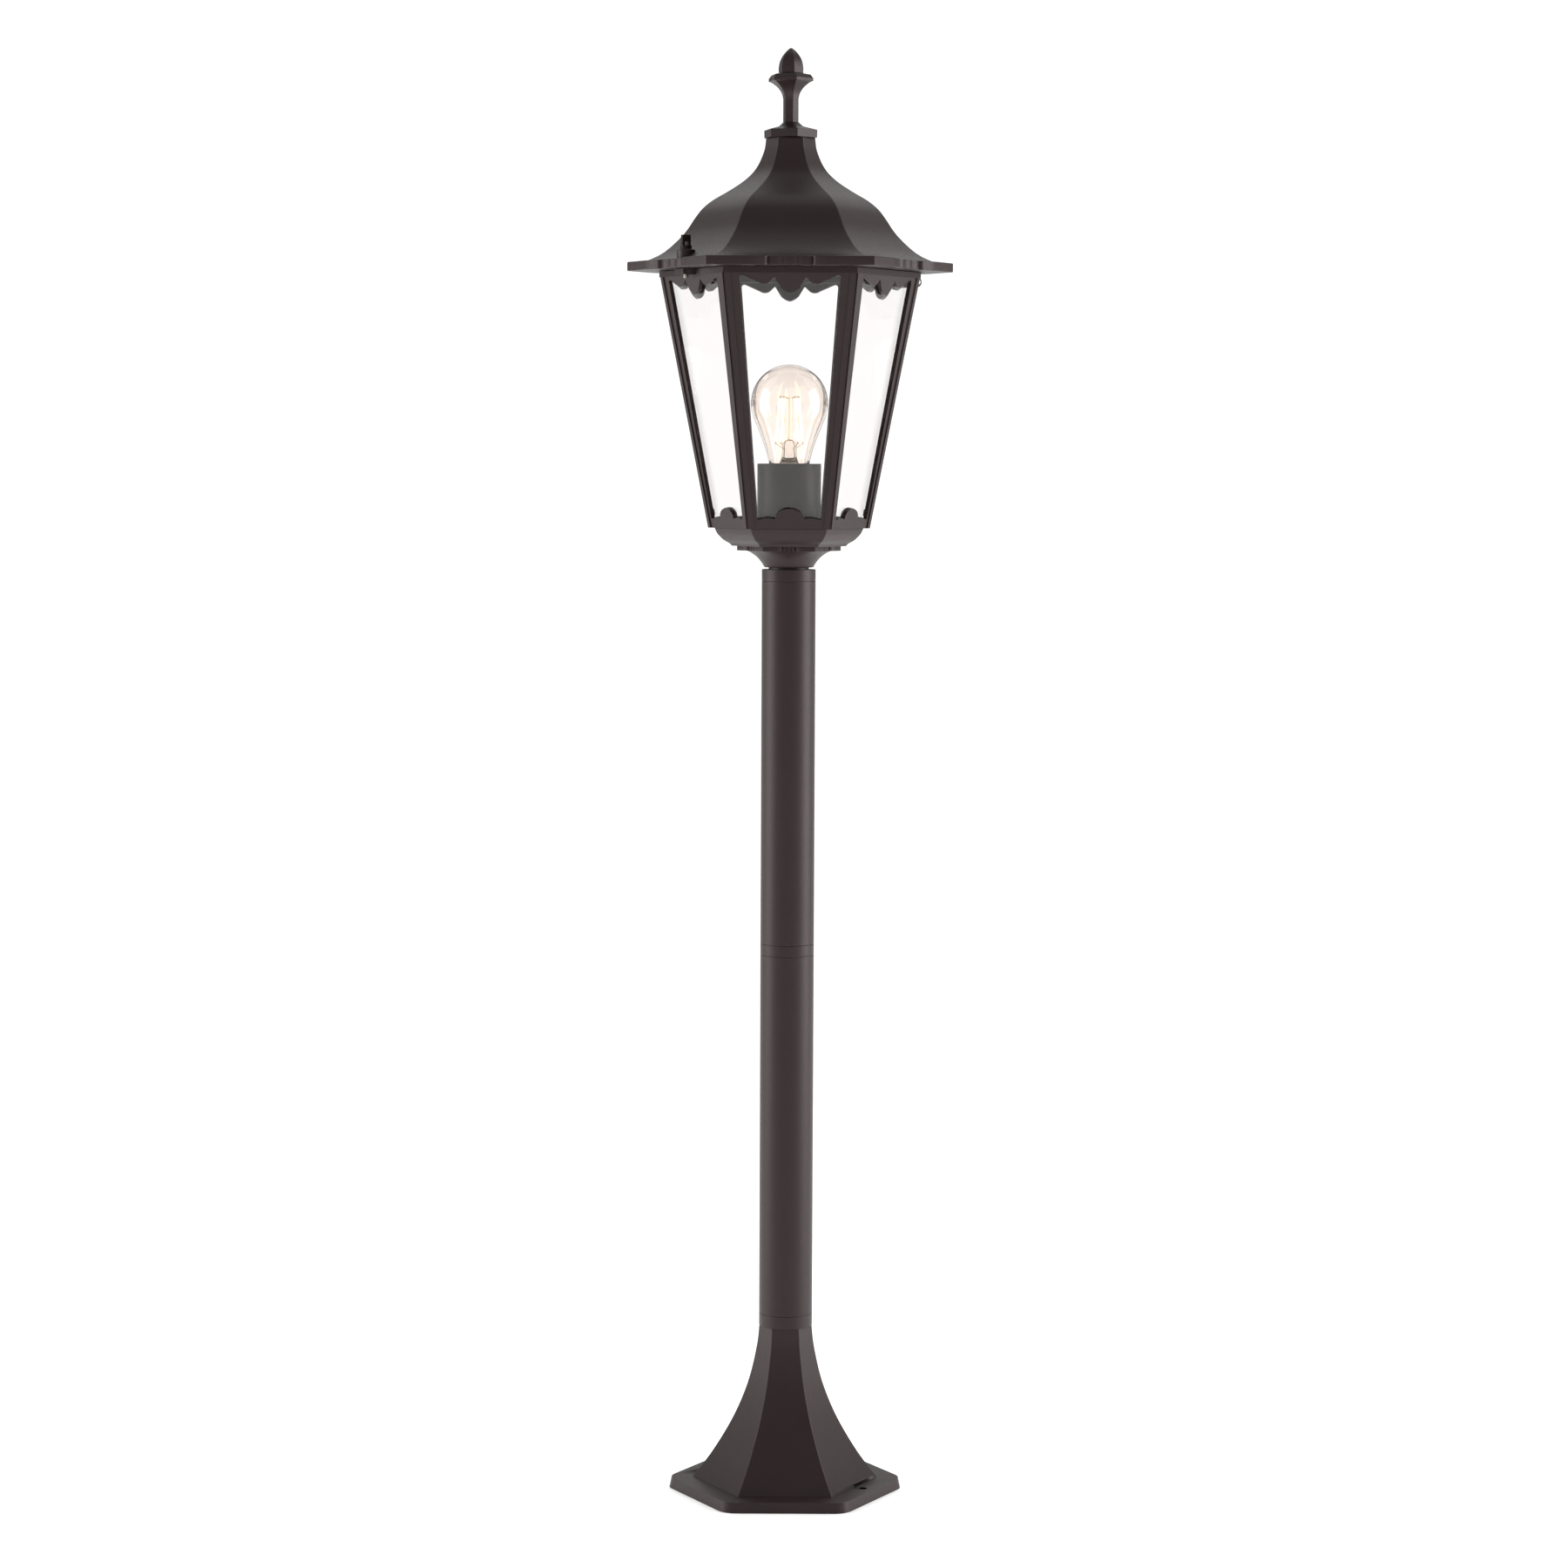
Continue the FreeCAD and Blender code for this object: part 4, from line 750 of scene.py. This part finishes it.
class LANTERN_OT_roof(bpy.types.Operator):
    """Builds the hollow ogee roof with its scalloped eave and the screw's boss"""
    bl_idname = "lantern.roof"
    bl_label = "Roof"

    def execute(self, context):
        sizes = context.scene.lantern_sizes
        shell = place("roof")
        eave_top, crown, wall = shell.z0 + 7.0, 8.0, 3.0
        mouth, throat, throat_height, peak = 104.0, 103.0, 3.5, 16.8
        edge, depth = sizes.cast_edge / MM, sizes.eave_scallop / MM
        rise = shell.z1 - eave_top
        outline = [(shell.radius * r, eave_top + rise * h)
                   for r, h in smooth_outline(ROOF_OUTLINE, 3)]
        outline = [point for point in outline if point[1] > eave_top]
        cuts = 100
        bm = bmesh.new()
        loops = [
            hexagon(bm, mouth, shell.z0, edge, cuts),
            hexagon(bm, shell.radius, shell.z0, edge, cuts, depth),
            hexagon(bm, shell.radius, eave_top, edge, cuts, depth),
        ]
        loops += [hexagon(bm, radius, height, edge, cuts) for radius, height in outline]
        hollow = [(throat, shell.z0 + throat_height)]
        for before, (radius, height), after in zip(outline, outline[1:], outline[2:]):
            run, climb = after[0] - before[0], after[1] - before[1]
            length = math.hypot(run, climb)
            hollow.append((radius - wall * climb / length, height + wall * run / length))
        ceiling = shell.z1 - crown
        hollow = [point for point in hollow if point[0] <= throat and point[1] < ceiling - 1.0]
        hollow.append((peak, ceiling))
        inner = [hexagon(bm, radius, height, edge, cuts) for radius, height in hollow]
        bridge(bm, loops)
        bmesh.ops.edgeloop_fill(bm, edges=loops[-1])
        bridge(bm, [loops[0]] + inner)
        bmesh.ops.edgeloop_fill(bm, edges=inner[-1])
        bmesh.ops.recalc_face_normals(bm, faces=bm.faces)
        soften(bm, 0.7, degrees=50)
        x = SCREW_DISTANCE * math.cos(SCREW_BEARING)
        y = SCREW_DISTANCE * math.sin(SCREW_BEARING)
        # The boss is hollow below for the screw's clip, with a narrower way above for its shank.
        boss = bmesh.new()
        bottom, top, radius, opening = shell.z0 + 1.0, place("thumb_screw_knob").z0 - 0.1, 7.0, 4.5
        way, pocket, pocket_top, rounding = 2.35, 4.0, shell.z0 + 10.9, 0.9
        start, end = (radius, top - rounding), (radius - rounding, top)
        lathe(boss, [(pocket, bottom), (radius, bottom), start,
                     *arc(start, (radius - 0.26, top - 0.26), end, 3),
                     (way, top), (way, pocket_top), (pocket, pocket_top)], segments=48)
        bmesh.ops.translate(boss, vec=(x, y, 0), verts=boss.verts)
        make_piece(carve(bm, [pin(x, y, shell.z0 - 5, top + 5, opening)]), "roof_casting",
                   "black_powder_coat", "roof", ["roof"])
        make_piece(boss, "roof_boss", "black_powder_coat", "roof")
        return {"FINISHED"}


class LANTERN_OT_finial(bpy.types.Operator):
    """Builds the hexagonal acorn finial on its stem and cap plate"""
    bl_idname = "lantern.finial"
    bl_label = "Finial"

    def execute(self, context):
        tip = place("finial")
        acorn = smooth_outline([(10.0, 1111.0), (10.1, 1115.0), (9.1, 1119.9), (7.1, 1123.9),
                                (4.2, 1127.4), (1.0, tip.z1)], 4)
        cup = smooth_outline([(6.3, 1091.0), (7.5, 1095.5), (10.7, 1100.0), (15.4, 1103.6),
                              (18.1, 1104.6)], 4)
        outline = [(21.4, tip.z0), (21.6, tip.z0 + 6), (10.0, tip.z0 + 8.9), (6.3, tip.z0 + 12.2)]
        outline += cup + [(18.1, 1106.8), (16.0, 1109.5), (10.6, 1110.6)] + acorn
        bm = bmesh.new()
        loops = [hexagon(bm, radius, height, min(1.0, radius * 0.15), cuts=2, turn=FINIAL_TURN)
                 for radius, height in outline]
        chain(bm, loops)
        soften(bm, 0.4, degrees=32)
        make_piece(bm, "finial_casting", "black_powder_coat", "roof", ["finial"])
        return {"FINISHED"}


class LANTERN_OT_hardware(bpy.types.Operator):
    """Builds the roof hinge and the thumb screw"""
    bl_idname = "lantern.hardware"
    bl_label = "Hinge and thumb screw"

    def execute(self, context):
        for node, name, body in (("ring_hinge_bracket", "hinge_bracket", "lantern"),
                                 ("roof_hinge_leaf", "hinge_leaf", "roof")):
            part = cad_copy(node)
            soften(part, 0.3)
            make_piece(part, name, "black_powder_coat", body, [node])
        knob = cad_copy("thumb_screw_knob")
        soften(knob, 0.5, segments=3)
        make_piece(knob, "screw_wing", "black_cup", "thumb_screw", ["thumb_screw_knob"])
        shank = place("thumb_screw_shank")
        bm = bmesh.new()
        thread(bm, crest=2.0, root=1.65, pitch=0.7, bottom=shank.z0, top=shank.z1, steps=24)
        middle = ((shank.x0 + shank.x1) / 2, (shank.y0 + shank.y1) / 2, 0)
        bmesh.ops.translate(bm, vec=middle, verts=bm.verts)
        make_piece(bm, "screw_thread", "plated_steel", "thumb_screw", ["thumb_screw_shank"])
        return {"FINISHED"}


class LANTERN_OT_lampholder(bpy.types.Operator):
    """Turns the lampholder's cup"""
    bl_idname = "lantern.lampholder"
    bl_label = "Lampholder"

    def execute(self, context):
        cup = place("lampholder_cup")
        way, inside, floor = 5.1, cup.radius - 1.2, cup.z0 + 2
        bm = bmesh.new()
        lathe(bm, [(way, cup.z0), (cup.radius, cup.z0), (cup.radius, cup.z1), (inside, cup.z1),
                   (inside, floor), (way, floor)], soft=0.4)
        make_piece(bm, "lamp_cup", "black_cup", "lantern", ["lampholder_cup"])
        return {"FINISHED"}


class LANTERN_OT_bulb(bpy.types.Operator):
    """Builds the bulb's globe, threaded cap, stem, wires and filaments"""
    bl_idname = "lantern.bulb"
    bl_label = "Bulb"

    def execute(self, context):
        glass = place("bulb_glass")
        radius, wall = glass.radius, 0.8
        middle = glass.z1 - radius

        def on_globe(degrees, size):
            """A point on the globe's outline, this far above its middle as an angle."""
            turn = math.radians(degrees)
            return (size * math.cos(turn), middle + size * math.sin(turn))

        inner = radius - wall
        shoulder, flank, rim, rim_inner = -25, 30, 14.6, 13.6
        low, low_inner = on_globe(shoulder, radius), on_globe(shoulder, inner)
        crown, crown_inner = (0.0, glass.z1), (0.0, glass.z1 - wall)
        neck, neck_inner = (17.6, 819.0), (16.7, 819.2)
        bend, bend_inner = (21.9, 831.5), (21.0, 831.9)
        bm = bmesh.new()
        lathe(bm, [
            (rim_inner, glass.z0), (rim, glass.z0), neck, *arc(neck, bend, low, 8),
            *arc(low, on_globe(flank, radius), crown, 26), crown_inner,
            *reversed(arc(low_inner, on_globe(flank, inner), crown_inner, 26)[:-1]),
            low_inner, *arc(low_inner, bend_inner, neck_inner, 8)])
        make_piece(bm, "bulb_globe", "bulb_glass", "bulb", ["bulb_glass"])
        cap = place("bulb_cap")
        bm = bmesh.new()
        thread(bm, crest=13.25, root=12.45, pitch=3.63, bottom=cap.z0 + 3.6, top=cap.z1 - 1.9,
               steps=48)
        core, end, slope, rim = 12.6, 8.0, cap.z0 + 3.2, cap.z0 + 4.2
        lathe(bm, [(0.0, slope), (0.0, cap.z0), (end, cap.z0), (core, slope), (core, rim),
                   (0.0, rim)], segments=64)
        make_piece(bm, "bulb_screw_cap", "bulb_metal", "bulb", ["bulb_cap"])
        collar = bmesh.new()
        lip, foot, top = 14.5, cap.z1 - 2.6, cap.z1 - 0.05
        lathe(collar, [(0.0, foot), (12.9, foot), (13.1, cap.z1 - 1.6), (lip, cap.z1 - 0.7),
                       (lip, top), (0.0, top)], segments=64)
        make_piece(collar, "bulb_cap_collar", "bulb_metal", "bulb")
        self.stem_and_filaments()
        return {"FINISHED"}

    def stem_and_filaments(self):
        """The glass stem, four strips leaning in upwards, and the wires that hold them."""
        stem, strips = place("bulb_stem"), place("bulb_filaments")
        post, rim = 1.6, 13.5
        flange, throat, pinch = (rim, stem.z0 + 0.8), (6.0, 815.0), (5.5, 825.2)
        tip = (post, stem.z1 - post)
        bm = bmesh.new()
        lathe(bm, [(0.0, stem.z0), (rim, stem.z0), flange,
                   *arc(flange, (8.2, 810.4), throat, 6), *arc(throat, (5.6, 821.0), pinch, 3),
                   *arc(pinch, (4.0, 827.8), (post, 829.4), 4), tip,
                   *arc(tip, (post * 0.7, stem.z1 - 0.5), (0.0, stem.z1), 4)], segments=48)
        make_piece(bm, "bulb_glass_stem", "bulb_glass", "bulb", ["bulb_stem"])
        glow, wires = bmesh.new(), bmesh.new()
        low, high = Vector((0, 0, strips.z0 + 0.3)), Vector((0, 0, strips.z1 - 0.3))
        low_hold, high_hold = Vector((0, 0, 822.0)), Vector((0, 0, stem.z1 - 1.0))
        strip, ferrule, wire = 0.95, 0.5, 0.25
        for turn in FILAMENT_BEARINGS:
            out = Vector((math.cos(turn), math.sin(turn), 0))
            foot, head = out * 12.3 + low, out * 8.35 + high
            along = (head - foot).normalized()
            rod(glow, foot + along * 1.2, head - along * 1.2, strip, 16)
            rod(wires, foot - along * 0.8, foot + along * 1.6, ferrule)
            rod(wires, head - along * 1.6, head + along * 0.8, ferrule)
            rod(wires, foot - along * 0.6, out * 4.6 + low_hold, wire, 8)
            rod(wires, head + along * 0.6, out * 1.0 + high_hold, wire, 8)
        soften(glow, 0.5, degrees=50)
        make_piece(glow, "bulb_strips", "filament", "bulb", ["bulb_filaments"])
        make_piece(wires, "bulb_wires", "bulb_metal", "bulb")


class LANTERN_OT_finishes(bpy.types.Operator):
    """Gives every CAD piece that still shows its finish"""
    bl_idname = "lantern.finishes"
    bl_label = "Finishes"

    def execute(self, context):
        for row in frame["record"]["subparts"]:
            node = frame["nodes"][row["node"]]
            for held in node.material_slots:
                held.material = finish(row["material_slot"])
        return {"FINISHED"}


class LANTERN_OT_stage(bpy.types.Operator):
    """Sets the floor, the soft lights, the lamp's own light and the camera"""
    bl_idname = "lantern.stage"
    bl_label = "Stage"

    def execute(self, context):
        scene = context.scene
        stage = scene.lantern_stage
        self.floor(stage)
        self.sky(scene)
        for name, across, power in (("light_left", -2.4, stage.left_power),
                                    ("light_right", 2.4, stage.right_power)):
            self.softbox(name, (across, -0.2, 1.0), power)
        self.overhead("light_top", stage.top_strength)
        on_floor = self.overhead("light_floor", stage.floor_strength)
        receivers = bpy.data.collections.new("floor_light_receivers")
        receivers.objects.link(bpy.data.objects["floor"])
        on_floor.light_linking.receiver_collection = receivers
        look = scene.lantern_finishes
        strips = place("bulb_filaments")
        lamp = bpy.data.lights.new("lamp_glow", "POINT")
        lamp.energy = look.glow_power
        lamp.color = look.glow
        lamp.shadow_soft_size = 10 * MM
        holder = put("lamp_glow", lamp)
        holder.location = (0, 0, (strips.z0 + strips.z1) / 2 * MM)
        holder.visible_camera = holder.visible_glossy = holder.visible_transmission = False
        self.camera(scene, stage)
        scene.view_settings.view_transform = "Standard"
        return {"FINISHED"}

    def floor(self, stage):
        """A wide pale floor."""
        bm = bmesh.new()
        bmesh.ops.create_grid(bm, x_segments=1, y_segments=1, size=30.0)
        mesh = bpy.data.meshes.new("floor")
        bm.to_mesh(mesh)
        bm.free()
        floor = put("floor", mesh)
        # Painted studio board: matt and nearly white, with a trace of roller texture.
        material, tree, shader = new_material("studio_board", Roughness=0.9,
                                              Base_Color=rgba(stage.floor))
        spot = add_node(tree, "ShaderNodeTexCoord")
        roller = add_node(tree, "ShaderNodeTexNoise", {
            "Vector": spot.outputs["Object"], "Scale": per_mm(4.0)})
        bump = add_node(tree, "ShaderNodeBump", {
            "Height": roller.outputs["Fac"], "Strength": 0.05, "Distance": 0.1 * MM})
        tree.links.new(bump.outputs["Normal"], shader.inputs["Normal"])
        mesh.materials.append(material)

    def sky(self, scene):
        """A white surround to look at, and a dimmer one to light by."""
        looked_at, lit_by = 1.12, 0.35
        world = bpy.data.worlds.new("studio")
        world.use_nodes = True
        tree = world.node_tree
        tree.nodes.clear()
        rays = add_node(tree, "ShaderNodeLightPath")
        seen = add_node(tree, "ShaderNodeMath", {
            0: rays.outputs["Is Camera Ray"], 1: rays.outputs["Is Transmission Ray"]},
            operation="MAXIMUM")
        bounces = add_node(tree, "ShaderNodeMath", {
            0: rays.outputs["Diffuse Depth"], 1: rays.outputs["Glossy Depth"]}, operation="ADD")
        unbounced = add_node(tree, "ShaderNodeMath", {0: bounces.outputs["Value"], 1: 0.5},
                             operation="LESS_THAN")
        direct = add_node(tree, "ShaderNodeMath", {
            0: seen.outputs["Value"], 1: unbounced.outputs["Value"]}, operation="MULTIPLY")
        strength = add_node(tree, "ShaderNodeMapRange", {
            "Value": direct.outputs["Value"], "To Min": lit_by, "To Max": looked_at})
        shade = add_node(tree, "ShaderNodeBackground", {
            "Color": (1.0, 1.0, 1.0, 1.0), "Strength": strength.outputs["Result"]})
        add_node(tree, "ShaderNodeOutputWorld", {"Surface": shade.outputs["Background"]})
        scene.world = world

    def overhead(self, name, strength):
        """A broad light from above and behind, like a ceiling of diffusers."""
        spread, tilt = math.radians(75), math.radians(-35)
        light = bpy.data.lights.new(name, "SUN")
        light.energy = strength
        light.angle = spread
        holder = put(name, light)
        holder.location = (0, 0, 3)
        holder.rotation_euler = (tilt, 0, 0)
        return holder

    def softbox(self, name, spot, power):
        """A large soft rectangular light that points a little above the pole's middle."""
        aim, width, height = Vector((0, 0, 0.65)), 1.6, 2.4
        light = bpy.data.lights.new(name, "AREA")
        light.shape = "RECTANGLE"
        light.size = width
        light.size_y = height
        light.energy = power
        holder = put(name, light)
        holder.location = spot
        holder.rotation_euler = (aim - Vector(spot)).to_track_quat("-Z", "Y").to_euler()

    def camera(self, scene, stage):
        """The camera, level with the cage, looking slightly down."""
        data = bpy.data.cameras.new("camera")
        data.lens = stage.lens
        data.sensor_width = 36.0
        camera = put("camera", data)
        sideways, roll = -0.003, math.radians(0.25)
        look = (Matrix.Rotation(math.pi / 2 - stage.camera_pitch, 4, "X")
                @ Matrix.Rotation(roll, 4, "Z"))
        spot = Matrix.Translation((sideways, -stage.camera_distance, stage.camera_height))
        camera.matrix_world = spot @ look
        scene.camera = camera


# ---------------------------------------------------------------- panel and registration

STEPS = ["base", "pole", "neck", "cage", "roof", "finial", "hardware", "lampholder", "bulb",
         "finishes", "stage"]


class LANTERN_PT_panel(bpy.types.Panel):
    """Lists the lantern's pieces and settings in the sidebar"""
    bl_idname = "LANTERN_PT_panel"
    bl_label = "Post Lantern"
    bl_space_type = "VIEW_3D"
    bl_region_type = "UI"
    bl_category = "Lantern"

    def draw(self, context):
        column = self.layout.column()
        for step in STEPS:
            column.operator(f"lantern.{step}")
        for group in ("lantern_sizes", "lantern_finishes", "lantern_stage"):
            settings = getattr(context.scene, group)
            for name in settings.__annotations__:
                column.prop(settings, name)


GROUPS = {"lantern_sizes": LanternSizes, "lantern_finishes": LanternFinishes,
          "lantern_stage": LanternStage}
CLASSES = [*GROUPS.values(), LANTERN_OT_base, LANTERN_OT_pole, LANTERN_OT_neck, LANTERN_OT_cage,
           LANTERN_OT_roof, LANTERN_OT_finial, LANTERN_OT_hardware, LANTERN_OT_lampholder,
           LANTERN_OT_bulb, LANTERN_OT_finishes, LANTERN_OT_stage, LANTERN_PT_panel]


def register():
    for item in CLASSES:
        bpy.utils.register_class(item)
    for name, group in GROUPS.items():
        setattr(bpy.types.Scene, name, bpy.props.PointerProperty(type=group))


def unregister():
    for name in GROUPS:
        delattr(bpy.types.Scene, name)
    for item in reversed(CLASSES):
        bpy.utils.unregister_class(item)


def main():
    """Builds every piece in turn."""
    register()
    for step in STEPS:
        getattr(bpy.ops.lantern, step)()


if __name__ == "__main__":
    main()
